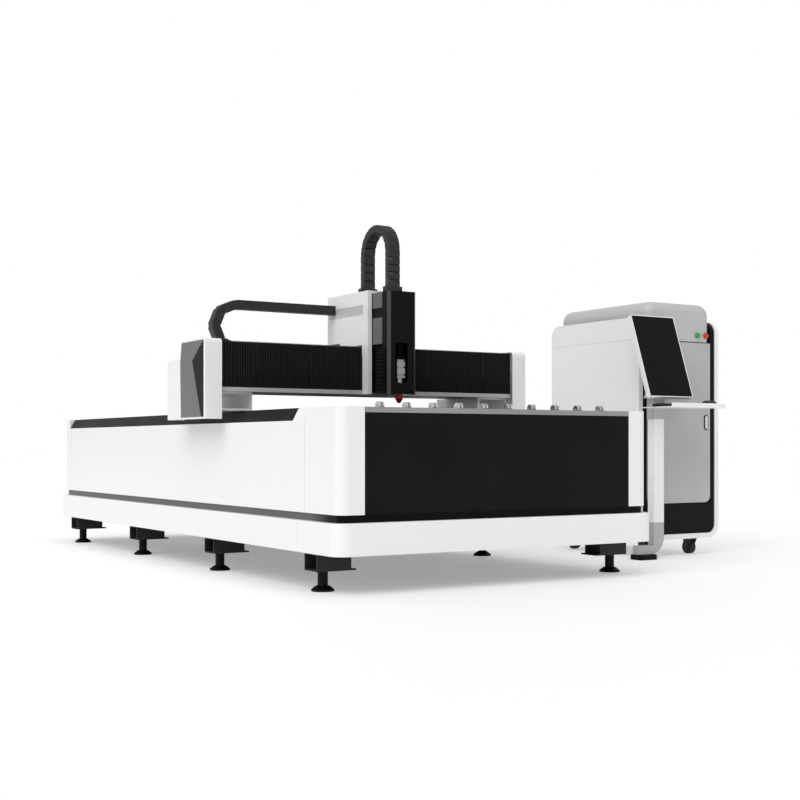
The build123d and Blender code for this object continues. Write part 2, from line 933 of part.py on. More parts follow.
# Carriage housing: a white folded box that bridges the beam behind the plate
with BuildPart() as carriage_cover:
    cover_back = front + carriage_front + carriage_depth
    with BuildSketch(Plane.YZ.offset(carriage_x[0])) as housing_side:
        with BuildLine():
            Polyline(
                (plate_y[0], z_bottom + sheet),
                (plate_y[0], carriage_top),
                (cover_back, carriage_top),
                (cover_back, carriage_floor),
                (plate_y[0] + carriage_sill_depth, carriage_floor),
                (plate_y[0] + carriage_sill_depth, carriage_sill),
                (plate_y[0] + carriage_leg, carriage_sill),
                (plate_y[0] + carriage_leg, z_bottom + sheet),
                close=True,
            )
        make_face()
    extrude(amount=carriage_width)
    span(
        (carriage_x[0] + sheet, carriage_x[1] - sheet),
        (plate_y[0] + sheet, cover_back - sheet),
        (z_bottom, carriage_top - sheet),
        mode=Mode.SUBTRACT,
    )
    span(plate_x, (plate_y[0] - overrun, plate_y[1]), (z_bottom, z_housing_top), mode=Mode.SUBTRACT)
    for wall in carriage_x:
        span(
            (wall - band_depth, wall + band_depth),
            (plate_y[0] + band_height, cover_back + overrun),
            (band_bottom, band_bottom + band_height),
            mode=Mode.SUBTRACT,
        )

# Vertical axis: grey housing for motor and screw, pleated bellows below it
z_x = left + z_centre
with BuildPart() as z_housing:
    z_side = (z_x - z_housing_width / 2, z_x + z_housing_width / 2)
    span(z_side, (front + z_housing_front, plate_y[0]), (z_housing_bottom, z_housing_top))
    span(
        (z_side[0] + sheet, z_side[1] - sheet),
        (front + z_housing_front + sheet, plate_y[0] - sheet),
        (z_housing_bottom - overrun, z_housing_top - sheet),
        mode=Mode.SUBTRACT,
    )
    for wall in z_side:
        span(
            (wall - band_depth, wall + band_depth),
            (front + z_housing_front - overrun, plate_y[0] + overrun),
            (z_band_bottom, z_band_bottom + band_height),
            mode=Mode.SUBTRACT,
        )
shelf_high = z_bottom + z_shelf + z_shelf
with BuildPart() as z_bellows:
    half = z_bellows_width / 2
    fold = (z_housing_bottom - shelf_high) / z_pleats
    outline = []
    for index in range(z_pleats):
        outline += [
            (z_x - half + z_pleat_depth, shelf_high + index * fold),
            (z_x - half, shelf_high + (index + 1 / 2) * fold),
        ]
    outline.append((z_x - half + z_pleat_depth, z_housing_bottom))
    outline += [(2 * z_x - x, z) for x, z in outline[::-1]]
    with BuildSketch(facing(z_housing_front + z_pleat_depth)):
        with BuildLine():
            Polyline(*outline, close=True)
        make_face()
    extrude(amount=-(carriage_front - z_housing_front - 2 * z_pleat_depth))

# Moving plate of the vertical axis with the nut shelf under the bellows
plate_front = front + z_housing_front - seat_gap - z_plate_thickness
z_span = (z_x - z_width / 2, z_x + z_width / 2)
with BuildPart() as z_plate:
    span(z_span, (plate_front, plate_front + z_plate_thickness), (z_bottom + z_shelf, z_top))
    span(
        (z_x - half, z_x + half),
        (plate_front, plate_y[0] - seat_gap),
        (z_bottom + z_shelf, shelf_high - seat_gap),
    )

# Dark cover of the vertical axis: a chamfered hood with a tall slot onto the cutting head
with BuildPart() as z_cover:
    with BuildSketch(Plane.XY.offset(z_bottom)) as hood_plan:
        with Locations((z_x, (front + z_front + plate_front) / 2)):
            Rectangle(z_width, plate_front - front - z_front)
        chamfer(hood_plan.vertices().group_by(Axis.Y)[0], z_edge)
    extrude(amount=z_top - z_bottom)
    hollow_front = front + z_front + sheet
    hollow_back = plate_front + overrun
    with BuildSketch(Plane.XY.offset(z_bottom - overrun)) as hollow:
        with Locations((z_x, (hollow_front + hollow_back) / 2)):
            Rectangle(z_width - 2 * sheet, hollow_back - hollow_front)
        chamfer(hollow.vertices().group_by(Axis.Y)[0], z_edge - sheet / 2)
    extrude(hollow.sketch, amount=z_top - sheet - z_bottom + overrun, mode=Mode.SUBTRACT)
    slot_x = left + slot_centre
    with BuildSketch(facing(z_front - overrun)) as slot_face:
        with Locations((slot_x, (slot_bottom + slot_top) / 2)):
            RectangleRounded(slot_width, slot_top - slot_bottom, slot_corner)
    extrude(slot_face.sketch, amount=-(z_edge + overrun), mode=Mode.SUBTRACT)

# Cutting head: collimator tube, focus block and ceramic collar on a bracket
head_y = plate_front - head_setback
with BuildPart() as cutting_head:
    with Locations((slot_x, head_y, head_body_top)):
        Cylinder(head_radius, head_top - head_body_top, align=low)
    with Locations((slot_x, head_y, head_body_bottom)):
        Box(head_body, 2 * head_radius, head_body_top - head_body_bottom, align=low)
    with Locations((slot_x, head_y, z_bottom)):
        Cone(nozzle_radius, head_radius - sheet, head_body_bottom - z_bottom, align=low)
    with Locations((slot_x, head_y, (head_body_bottom + z_bottom) / 2)):
        Cylinder(head_radius, sheet, align=low)
    span(
        (slot_x - head_radius / 2, slot_x + head_radius / 2),
        (head_y, plate_front),
        (head_body_bottom, head_top - head_collar),
    )
    for ring in head_rings:
        for side, reach in ((-1, head_body), (1, head_body)):
            with Locations((slot_x + side * reach / 2, head_y, ring)):
                Box(2 * head_ring_depth, 4 * head_radius, head_ring_height, mode=Mode.SUBTRACT)
        with Locations((slot_x, head_y - head_radius, ring)):
            Box(2 * head_body, 2 * head_ring_depth, head_ring_height, mode=Mode.SUBTRACT)
with BuildPart() as nozzle:
    with BuildSketch(Plane.XZ.offset(-head_y)):
        with BuildLine():
            Polyline(
                (slot_x, z_bottom),
                (slot_x + nozzle_radius, z_bottom),
                (slot_x + nozzle_radius, z_bottom - nozzle_lip),
                (slot_x + nozzle_tip_radius, nozzle_tip),
                (slot_x, nozzle_tip),
                close=True,
            )
        make_face()
    revolve(axis=Axis((slot_x, head_y, z_bottom), (0, 0, 1)))


# Drag chains: straight links hinged end to end, with a notch at each hinge
def chain_outline(joints, thickness):
    """Closed outline of a chain whose hinges are at joints, notched on both sides."""
    points = [Vector(*joint) for joint in joints]
    ways = [(end - start).normalized() for start, end in zip(points[:-1], points[1:])]
    turns = [(a.X * b.Y - a.Y * b.X) / (1 + a.dot(b)) for a, b in zip(ways[:-1], ways[1:])]
    half = thickness / 2
    near = []
    far = []
    for index, along in enumerate(ways):
        side = Vector(-along.Y, along.X) * half
        first = turns[index - 1] if index else None
        last = turns[index] if index < len(turns) else None
        for sign, row in ((1, near), (-1, far)):
            notch_in = 0 if first is None else chain_notch + half * max(sign * first, 0)
            notch_out = 0 if last is None else chain_notch + half * max(sign * last, 0)
            row.append(points[index] + along * notch_in + side * sign)
            row.append(points[index + 1] - along * notch_out + side * sign)
    hinge_depth = 1 - 2 * chain_notch / thickness
    closed_near = [near[0]]
    closed_far = [far[0]]
    for index in range(1, len(joints) - 1):
        before, after = near[2 * index - 1], near[2 * index]
        pin = points[index]
        closed_near += [before, pin + ((before + after) / 2 - pin) * hinge_depth, after]
        before, after = far[2 * index - 1], far[2 * index]
        closed_far += [before, pin + ((before + after) / 2 - pin) * hinge_depth, after]
    closed_near.append(near[-1])
    closed_far.append(far[-1])
    return [(point.X, point.Y) for point in closed_near + closed_far[::-1]]


def run(start, end, pitch):
    """Hinges of a straight run, about a pitch apart."""
    reach = Vector(*end) - Vector(*start)
    count = max(2, round(reach.length / pitch))
    points = [Vector(*start) + reach * (index / count) for index in range(count + 1)]
    return [(point.X, point.Y) for point in points]


def bend(middle, radius, start_angle, end_angle, pitch):
    """Hinges round a half turn."""
    count = max(2, round(pi * radius / pitch))
    step = (end_angle - start_angle) / count
    angles = [radians(start_angle + index * step) for index in range(count + 1)]
    return [(middle[0] + radius * cos(a), middle[1] + radius * sin(a)) for a in angles]


z_chain_mid = front + (z_chain_front + z_chain_rear) / 2
z_chain_radius = (z_chain_rear - z_chain_front - z_chain_thickness) / 2
z_chain_turn = z_chain_top - z_chain_thickness / 2 - z_chain_radius
z_chain_legs = (z_chain_mid - z_chain_radius, z_chain_mid + z_chain_radius)
with BuildPart() as z_chain:
    rear_leg = ((z_chain_legs[1], carriage_top + z_chain_foot), (z_chain_legs[1], z_chain_turn))
    front_leg = ((z_chain_legs[0], z_chain_turn), (z_chain_legs[0], z_top + z_chain_foot))
    hinges = run(*rear_leg, z_chain_pitch)
    hinges += bend((z_chain_mid, z_chain_turn), z_chain_radius, 0, 180, z_chain_pitch)[1:]
    hinges += run(*front_leg, z_chain_pitch)[1:]
    with BuildSketch(Plane.YZ.offset(left + z_chain_left)):
        with BuildLine():
            Polyline(*chain_outline(hinges, z_chain_thickness), close=True)
        make_face()
    extrude(amount=z_chain_width)
    for leg, seat in zip(z_chain_legs, (z_top, carriage_top)):
        foot_x = left + z_chain_left + z_chain_width / 2
        with Locations((foot_x, leg, seat)):
            Box(
                z_chain_width + z_chain_foot_margin,
                z_chain_thickness,
                z_chain_foot + chain_notch,
                align=low,
            )

x_chain_low = beam_top + trough_wall + seat_gap
x_chain_radius = (x_chain_top - x_chain_low - x_chain_thickness) / 2
x_chain_axis = x_chain_low + x_chain_thickness / 2 + x_chain_radius
x_chain_turn = left + x_chain_left + x_chain_thickness / 2 + x_chain_radius
x_chain_high = x_chain_axis + x_chain_radius
with BuildPart() as x_chain_loop:
    hinges = run(
        (left + x_chain_lower_end, x_chain_axis - x_chain_radius),
        (x_chain_turn, x_chain_axis - x_chain_radius),
        x_chain_pitch,
    )
    hinges += bend((x_chain_turn, x_chain_axis), x_chain_radius, 270, 90, x_chain_pitch)[1:]
    hinges += [(left + x_chain_loop_end, x_chain_high)]
    with BuildSketch(facing(x_chain_front)):
        with BuildLine():
            Polyline(*chain_outline(hinges, x_chain_thickness), close=True)
        make_face()
    extrude(amount=-x_chain_width)
with BuildPart() as x_chain_upper:
    upper_start = (left + x_chain_loop_end + seat_gap, x_chain_high)
    hinges = run(upper_start, (carriage_x[0], x_chain_high), x_chain_pitch)
    with BuildSketch(facing(x_chain_front)):
        with BuildLine():
            Polyline(*chain_outline(hinges, x_chain_thickness), close=True)
        make_face()
    extrude(amount=-x_chain_width)


# Cabinet shell: one wrapped sheet, left side, bottom and right side, with rounded bottom corners
def wrapped_face(plane, inset, radius, top):
    with BuildSketch(plane) as wrap:
        low_z = cabinet_bottom + inset
        with Locations(((cabinet_left + cabinet_right) / 2, (low_z + top) / 2)):
            Rectangle(cabinet_width - 2 * inset, top - low_z)
        fillet(wrap.vertices().group_by(Axis.Y)[0], radius)
    return wrap.sketch


castor_points = [
    (x, y)
    for x in (cabinet_left + castor_side, cabinet_right - castor_side)
    for y in (cabinet_face + castor_front, cabinet_face + cabinet_depth - castor_front)
]
with BuildPart() as cabinet_shell:
    shell_plane = facing(cabinet_front)
    extrude(wrapped_face(shell_plane, 0, shell_radius, shell_top), amount=-cabinet_depth)
    extrude(
        wrapped_face(
            facing(cabinet_front - overrun), shell_wall, shell_radius - shell_wall, shell_top + overrun
        ),
        amount=-(cabinet_depth + 2 * overrun),
        mode=Mode.SUBTRACT,
    )
    for wall in (cabinet_left, cabinet_right):
        span(
            (wall - groove, wall + groove),
            (cabinet_face - overrun, cabinet_face + cabinet_depth + overrun),
            (upper_seam - groove / 2, upper_seam + groove / 2),
            mode=Mode.SUBTRACT,
        )
    with Locations(*[(x, y, cabinet_bottom) for x, y in castor_points]):
        Cylinder(castor_stem + running_gap, 2 * castor_stem_length, mode=Mode.SUBTRACT)
    fillet(edges().filter_by(Axis.X).group_by(Axis.Z)[-1], wall_corner)

# Dark inner frame: a box inside the shell, open in front for the door
inner_left_x = cabinet_left + shell_wall + inner_gap
inner_right_x = cabinet_right - shell_wall - inner_gap
inner_inset = shell_wall + inner_gap
with BuildPart() as cabinet_frame:
    extrude(
        wrapped_face(facing(cabinet_front + frame_setback), inner_inset, inner_radius, shell_top),
        amount=-(cabinet_depth - frame_setback),
    )
    fillet(edges().filter_by(Axis.X).group_by(Axis.Z)[-1], wall_corner)
    span(
        (inner_left_x + inner_rim, inner_right_x - inner_rim),
        (cabinet_face - overrun, cabinet_face + cabinet_depth + overrun),
        (upper_seam, shell_top + overrun),
        mode=Mode.SUBTRACT,
    )
    span(
        (inner_left_x + inner_wall, inner_right_x - inner_wall),
        (cabinet_face + frame_setback + rim_depth, cabinet_face + cabinet_depth - inner_wall),
        (cabinet_bottom + inner_inset + inner_wall, upper_seam - inner_wall),
        mode=Mode.SUBTRACT,
    )
    span(
        (inner_left_x + inner_rim, inner_right_x - inner_rim),
        (cabinet_face - overrun, cabinet_face + groove + door_thickness + seat_gap),
        (door_bottom, upper_seam + overrun),
        mode=Mode.SUBTRACT,
    )
    span(
        (inner_left_x + inner_rim + door_stop, inner_right_x - inner_rim - door_stop),
        (cabinet_face, cabinet_face + frame_setback + rim_depth + overrun),
        (door_bottom + door_stop, upper_seam - inner_wall),
        mode=Mode.SUBTRACT,
    )

# Cap: rounded top between the side walls, with the upper front panel that holds the buttons
cap_left = inner_left_x + inner_rim + seat_gap
cap_right = inner_right_x - inner_rim - seat_gap
with BuildPart() as cabinet_cap:
    cap_low = upper_seam + groove
    with BuildSketch(facing(cabinet_front)) as cap_face:
        with Locations(((cap_left + cap_right) / 2, (cap_low + cap_top) / 2)):
            Rectangle(cap_right - cap_left, cap_top - cap_low)
        fillet(cap_face.vertices().group_by(Axis.Y)[-1], cap_radius)
    extrude(amount=-cabinet_depth)
    for cap_end in (faces().sort_by(Axis.Y)[0], faces().sort_by(Axis.Y)[-1]):
        rim = cap_end.edges().filter_by(lambda edge: edge.center().Z > shell_top + overrun)
        fillet(rim, cap_front_radius)
    span(
        (cap_left + cap_wall, cap_right - cap_wall),
        (cabinet_face + cap_wall, cabinet_face + cabinet_depth - cap_wall),
        (cap_low - overrun, cap_top - cap_radius),
        mode=Mode.SUBTRACT,
    )
    with BuildSketch(facing(cabinet_front - overrun)) as button_holes:
        with Locations(*[(cabinet_left + x, button_height) for x in (green_button, red_button)]):
            Circle(button_stem + running_gap)
    extrude(button_holes.sketch, amount=-(cap_wall + 2 * overrun), mode=Mode.SUBTRACT)

# Door: grey panel with rounded bottom corners and a pocket for the handle
door_left = inner_left_x + inner_rim + door_gap
door_right = inner_right_x - inner_rim - door_gap
handle_x = cabinet_left + handle_left
with BuildPart() as cabinet_door:
    with BuildSketch(facing(cabinet_front + groove)) as door_face:
        door_low = door_bottom + door_gap
        door_high = upper_seam - groove
        with Locations(((door_left + door_right) / 2, (door_low + door_high) / 2)):
            Rectangle(door_right - door_left, door_high - door_low)
        fillet(door_face.vertices().group_by(Axis.Y)[0], door_radius)
    extrude(amount=-door_thickness)
    with BuildSketch(facing(cabinet_front + groove - overrun)) as pocket:
        with Locations((handle_x + handle_width / 2, handle_bottom + handle_height / 2)):
            SlotOverall(handle_height, handle_width, rotation=90)
    extrude(pocket.sketch, amount=-(handle_pocket + overrun), mode=Mode.SUBTRACT)

# Flush oval handle in the door's pocket
with BuildPart() as door_handle:
    with BuildSketch(facing(cabinet_front + groove - handle_proud)):
        with Locations((handle_x + handle_width / 2, handle_bottom + handle_height / 2)):
            SlotOverall(handle_height - 2 * seat_gap, handle_width - 2 * seat_gap, rotation=90)
    extrude(amount=-(handle_proud + handle_pocket))
    fillet(faces().sort_by(Axis.Y)[0].edges(), handle_proud / 2)


# Push buttons: a domed cap on a stem through the upper panel
def push_button(place):
    button_x = cabinet_left + place
    cap_back = cabinet_front - button_travel - seat_gap
    with BuildSketch(facing(cap_back)) as stem:
        with Locations((button_x, button_height)):
            Circle(button_stem)
    extrude(stem.sketch, amount=-(button_travel + cap_wall))
    with BuildSketch(facing(cap_back)) as cap:
        with Locations((button_x, button_height)):
            Circle(button_radius)
    extrude(cap.sketch, amount=button_proud)
    fillet(faces().sort_by(Axis.Y)[0].edges(), button_proud / 3)


with BuildPart() as start_button:
    push_button(green_button)
with BuildPart() as stop_button:
    push_button(red_button)

# Laser source on the cabinet's floor
with BuildPart() as laser_source:
    source_floor = cabinet_bottom + inner_inset + inner_wall
    source_x = (cabinet_left + cabinet_right) / 2
    source_depth = cabinet_depth - source_setback - source_rear_gap
    source_y = cabinet_face + source_setback + source_depth / 2
    with Locations((source_x, source_y, source_floor)):
        Box(source_width, source_depth, source_height, align=low)
    fillet(edges().filter_by(Axis.Z), source_edge)


# Castors: forged fork on a stem, trailing wheel between the cheeks
def castor_fork_at(x, y):
    wheel_y = y + castor_trail
    cheek_inner = castor_wheel_width / 2 + castor_side_gap
    head_low_z = cabinet_bottom - castor_head_thickness - seat_gap
    with Locations((x, y, head_low_z)):
        Cylinder(castor_head, castor_head_thickness, align=low)
        Cylinder(castor_stem, castor_head_thickness + castor_stem_length - castor_side_gap, align=low)
    for side in (x - cheek_inner - castor_cheek, x + cheek_inner):
        with BuildSketch(Plane.YZ.offset(side)) as cheek:
            with BuildLine():
                Polyline(
                    (y - castor_head / 2, head_low_z + sheet),
                    (wheel_y - castor_cheek_width / 3, castor_wheel),
                    (wheel_y + castor_cheek_width / 3, castor_wheel),
                    (wheel_y + castor_cheek_width / 2, head_low_z + sheet),
                    close=True,
                )
            make_face()
            with Locations((wheel_y, castor_wheel)):
                Circle(castor_cheek_width / 3)
        extrude(cheek.sketch, amount=castor_cheek)
    span(
        (x - cheek_inner - castor_cheek, x + cheek_inner + castor_cheek),
        (y - castor_head / 2, wheel_y + castor_cheek_width / 2),
        (head_low_z, head_low_z + sheet),
    )
    with BuildSketch(Plane.YZ.offset(x - cheek_inner - castor_cheek)) as axle:
        with Locations((wheel_y, castor_wheel)):
            Circle(castor_axle)
    extrude(axle.sketch, amount=2 * (cheek_inner + castor_cheek))


def castor_wheel_at(x, y):
    with BuildSketch(Plane.YZ.offset(x - castor_wheel_width / 2)) as tread:
        with Locations((y + castor_trail, castor_wheel)):
            Circle(castor_wheel)
    extrude(tread.sketch, amount=castor_wheel_width)
    fillet(edges().filter_by(GeomType.CIRCLE), castor_edge)
    with BuildSketch(Plane.YZ.offset(x - castor_wheel_width)) as bore:
        with Locations((y + castor_trail, castor_wheel)):
            Circle(castor_axle + running_gap)
    extrude(bore.sketch, amount=2 * castor_wheel_width, mode=Mode.SUBTRACT)


castor_forks = []
castor_wheels = []
for x, y in castor_points:
    with BuildPart() as castor_fork:
        castor_fork_at(x, y)
    with BuildPart() as castor_tyre:
        castor_wheel_at(x, y)
    castor_forks.append(castor_fork)
    castor_wheels.append(castor_tyre)

# Console post: a tube on a curved boot that turns in to a flat foot
post_x = (left + post_left, left + post_left + post_width)
post_y = (front + post_front, front + post_front + post_depth)
with BuildPart() as console_post:
    span(post_x, post_y, (boot_top, head_low))
    span(
        (post_x[0] + post_wall, post_x[1] - post_wall),
        (post_y[0] + post_wall, post_y[1] - post_wall),
        (boot_top, head_low),
        mode=Mode.SUBTRACT,
    )
    with BuildSketch(facing(post_front)) as boot_side:
        with BuildLine():
            Polyline(
                (post_x[0] - boot_reach, foot_plate),
                (post_x[1], foot_plate),
                (post_x[1], boot_top),
                (post_x[0], boot_top),
                (post_x[0], foot_plate + post_depth),
                (post_x[0] - boot_reach, foot_plate + post_depth),
                close=True,
            )
        make_face()
        corner = boot_side.vertices().sort_by(Axis.X)[-2:].sort_by(Axis.Y)[0]
        fillet(corner, boot_radius)
    extrude(boot_side.sketch, amount=-post_depth)
with BuildPart() as console_foot:
    with BuildSketch(Plane.XY):
        plate_centre = (
            left + foot_plate_left + foot_plate_width / 2,
            front + foot_plate_front + foot_plate_depth / 2,
        )
        with Locations(plate_centre):
            RectangleRounded(foot_plate_width, foot_plate_depth, tray_corner)
    extrude(amount=foot_plate)
    fillet(faces().sort_by(Axis.Z)[-1].edges(), monitor_edge)

# Console head: box on the post with two cheeks and a pin that carry the monitor
tilt = radians(monitor_tilt)
monitor_x = left + monitor_left + monitor_width / 2
back_y = front + monitor_base + monitor_thickness * cos(tilt)
pivot_y = back_y + pivot_rise * sin(tilt) + pivot_setback
pivot_z = monitor_low + pivot_rise * cos(tilt)
head_x = (post_x[0] - head_side, post_x[1] + head_side)
with BuildPart() as console_head:
    span(head_x, (post_y[0] - head_side, post_y[1] + head_side), (head_low, head_high))
    span(
        (monitor_x - pivot_width / 2 - pivot_cheek, monitor_x + pivot_width / 2 + pivot_cheek),
        (post_y[0] - head_side, post_y[1] + head_side),
        (head_high, head_high + pivot_cheek),
    )
    for side in (monitor_x - pivot_width / 2 - pivot_cheek, monitor_x + pivot_width / 2):
        with BuildSketch(Plane.YZ.offset(side)) as cheek:
            with BuildLine():
                Polyline(
                    (post_y[0], head_high + pivot_cheek),
                    (pivot_y - pivot_boss, pivot_z),
                    (pivot_y + pivot_boss, pivot_z),
                    (post_y[1], head_high + pivot_cheek),
                    close=True,
                )
            make_face()
            with Locations((pivot_y, pivot_z)):
                Circle(pivot_boss)
        extrude(cheek.sketch, amount=pivot_cheek)
    with BuildSketch(Plane.YZ.offset(monitor_x - pivot_width / 2)) as pin:
        with Locations((pivot_y, pivot_z)):
            Circle(pivot_radius)
    extrude(pin.sketch, amount=pivot_width)

# Keyboard tray: thin plate with a raised front lip, fixed to the console head
tray_x = (left + tray_left, left + tray_left + tray_width)
tray_rear = post_y[0] - head_side
with BuildPart() as keyboard_tray:
    with BuildSketch(Plane.XY.offset(tray_low)) as plate:
        with Locations(((tray_x[0] + tray_x[1]) / 2, (front + tray_front + tray_rear) / 2)):
            Rectangle(tray_width, tray_rear - front - tray_front)
        fillet(plate.vertices().group_by(Axis.Y)[0], tray_corner)
    extrude(amount=tray_plate)
    span(
        (tray_x[0] + tray_corner, tray_x[1] - tray_corner),
        (front + tray_front, front + tray_front + tray_plate),
        (tray_low, tray_low + tray_lip),
    )
tray_deck = tray_low + tray_plate
with BuildPart() as keyboard_and_mouse:
    keyboard_y = front + tray_front + keyboard_setback
    with BuildSketch(Plane.YZ.offset(tray_x[0] + seat_gap)):
        with BuildLine():
            Polyline(
                (keyboard_y, tray_deck),
                (keyboard_y + keyboard_depth, tray_deck),
                (keyboard_y + keyboard_depth, tray_deck + keyboard_rear),
                (keyboard_y, tray_deck + keyboard_front),
                close=True,
            )
        make_face()
    extrude(amount=keyboard_width)
    mouse_x = left + mouse_left + mouse_length / 2
    mouse_y = front + tray_front + mouse_setback + mouse_width / 2
    with BuildSketch(Plane.XY.offset(tray_deck)) as mouse_plan:
        with Locations((mouse_x, mouse_y)):
            SlotOverall(mouse_length, mouse_width)
    extrude(mouse_plan.sketch, amount=mouse_height)
    fillet(faces().sort_by(Axis.Z)[-1].edges(), mouse_dome)

# Monitor: thin housing leaning back on the head's pin, with a dark screen let into its front
lean = Plane(
    origin=(monitor_x, front + monitor_base, monitor_low),
    x_dir=(1, 0, 0),
    z_dir=(0, -cos(tilt), sin(tilt)),
)
with BuildPart() as monitor_housing:
    with BuildSketch(lean):
        with Locations((0, monitor_height / 2)):
            RectangleRounded(monitor_width, monitor_height, monitor_edge)
    extrude(amount=-monitor_thickness)
    with BuildSketch(lean.offset(overrun)):
        with Locations((0, monitor_height / 2)):
            Rectangle(monitor_width - 2 * screen_margin, monitor_height - 2 * screen_margin)
    extrude(amount=-(overrun + screen_proud), mode=Mode.SUBTRACT)
    with BuildSketch(Plane.YZ.offset(monitor_x - pivot_width / 2 + seat_gap)) as knuckle:
        with Locations((pivot_y, pivot_z)):
            Circle(pivot_boss)
        with BuildLine():
            Polyline(
                (pivot_y, pivot_z + pivot_boss),
                (pivot_y - pivot_setback - pivot_boss * sin(tilt), pivot_z + pivot_boss),
                (pivot_y - pivot_setback - pivot_boss * sin(tilt), pivot_z - pivot_boss),
                (pivot_y, pivot_z - pivot_boss),
                close=True,
            )
        make_face()
    extrude(knuckle.sketch, amount=pivot_width - 2 * seat_gap)
    with BuildSketch(Plane.YZ.offset(monitor_x - pivot_width)) as pin_hole:
        with Locations((pivot_y, pivot_z)):
            Circle(pivot_radius + running_gap)
    extrude(pin_hole.sketch, amount=2 * pivot_width, mode=Mode.SUBTRACT)
with BuildPart() as monitor_screen:
    with BuildSketch(lean.offset(-screen_proud)):
        with Locations((0, monitor_height / 2)):
            Rectangle(monitor_width - 2 * screen_margin, monitor_height - 2 * screen_margin)
    extrude(amount=screen_proud)

# Names of the finished pieces
pieces = {
    "bed_frame": bed_frame,
    "levelling_feet": levelling_feet,
    "skirt_front": skirt_front,
    "skirt_sides": skirt_sides,
    "waist_band": waist_band,
    "side_panel_left": side_panel_left,
    "side_panel_right": side_panel_right,
    "rear_panel": rear_panel,
    "corner_columns": corner_columns,
    "front_panel": front_panel,
    "front_sill": front_sill,
    "loading_rollers": loading_rollers,
    "rail_guards": rail_guards,
    "y_rails": y_rails,
    "slats": slats,
    "slag_trays": slag_trays,
    "gantry_beam": gantry_beam,
    "beam_rails": beam_rails,
    "gantry_saddles": gantry_saddles,
    "y_drives": y_drives,
    "end_cover_left": end_cover_left,
    "end_cover_right": end_cover_right,
    "inlay_grey": inlay_grey,
    "inlay_black": inlay_black,
    "bellows_left": bellows_left,
    "bellows_right": bellows_right,
    "carriage_plate": carriage_plate,
    "carriage_cover": carriage_cover,
    "z_housing": z_housing,
    "z_bellows": z_bellows,
    "z_plate": z_plate,
    "z_cover": z_cover,
    "cutting_head": cutting_head,
    "nozzle": nozzle,
    "z_chain": z_chain,
    "x_chain_loop": x_chain_loop,
    "x_chain_upper": x_chain_upper,
    "cabinet_shell": cabinet_shell,
    "cabinet_frame": cabinet_frame,
    "cabinet_cap": cabinet_cap,
    "cabinet_door": cabinet_door,
    "door_handle": door_handle,
    "start_button": start_button,
    "stop_button": stop_button,
    "laser_source": laser_source,
    "console_post": console_post,
    "console_foot": console_foot,
    "console_head": console_head,
    "keyboard_tray": keyboard_tray,
    "keyboard_and_mouse": keyboard_and_mouse,
    "monitor_housing": monitor_housing,
    "monitor_screen": monitor_screen,
}
for index, piece in enumerate(castor_forks):
    pieces[f"castor_fork_{index + 1}"] = piece
for index, piece in enumerate(castor_wheels):
    pieces[f"castor_wheel_{index + 1}"] = piece
for name, piece in pieces.items():
    piece.part.label = name
    export_step(piece.part, f"parts/{name}.step")
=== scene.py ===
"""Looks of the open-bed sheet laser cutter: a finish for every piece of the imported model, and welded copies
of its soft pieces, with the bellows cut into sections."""

import bpy
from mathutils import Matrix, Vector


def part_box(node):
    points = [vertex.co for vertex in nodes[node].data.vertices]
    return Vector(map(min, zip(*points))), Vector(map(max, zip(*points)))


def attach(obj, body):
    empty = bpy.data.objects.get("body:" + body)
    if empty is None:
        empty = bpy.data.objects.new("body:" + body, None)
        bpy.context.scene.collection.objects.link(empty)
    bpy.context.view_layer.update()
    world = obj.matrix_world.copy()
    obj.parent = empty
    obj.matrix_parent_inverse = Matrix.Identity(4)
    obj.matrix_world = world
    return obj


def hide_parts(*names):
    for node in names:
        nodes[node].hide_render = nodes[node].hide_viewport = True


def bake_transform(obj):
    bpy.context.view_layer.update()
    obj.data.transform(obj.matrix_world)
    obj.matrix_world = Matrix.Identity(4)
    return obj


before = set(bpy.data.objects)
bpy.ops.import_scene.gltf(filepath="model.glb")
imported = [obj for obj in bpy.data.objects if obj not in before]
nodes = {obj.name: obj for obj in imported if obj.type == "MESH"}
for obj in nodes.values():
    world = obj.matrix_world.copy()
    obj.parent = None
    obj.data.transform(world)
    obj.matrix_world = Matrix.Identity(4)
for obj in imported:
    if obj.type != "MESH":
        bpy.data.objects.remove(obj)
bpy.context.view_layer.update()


# Floor: the plain pale shop floor that the machine stands on. It is matt paint on concrete,
# seen as almost white, and it keeps the machine's soft shadow.
def linear(code):
    """Colour of an sRGB hex code as linear light, with full opacity."""
    parts = [int(code[place : place + 2], 16) / 255 for place in (0, 2, 4)]
    return [p / 12.92 if p <= 0.04045 else ((p + 0.055) / 1.055) ** 2.4 for p in parts] + [1.0]


def add_node(tree, kind, inputs, **settings):
    """Add one shader node with its settings. Each input is a plain value or the output that feeds it."""
    made = tree.nodes.new(kind)
    for name, value in settings.items():
        setattr(made, name, value)
    for name, value in inputs.items():
        if isinstance(value, bpy.types.NodeSocket):
            tree.links.new(value, made.inputs[name])
        else:
            made.inputs[name].default_value = value
    return made


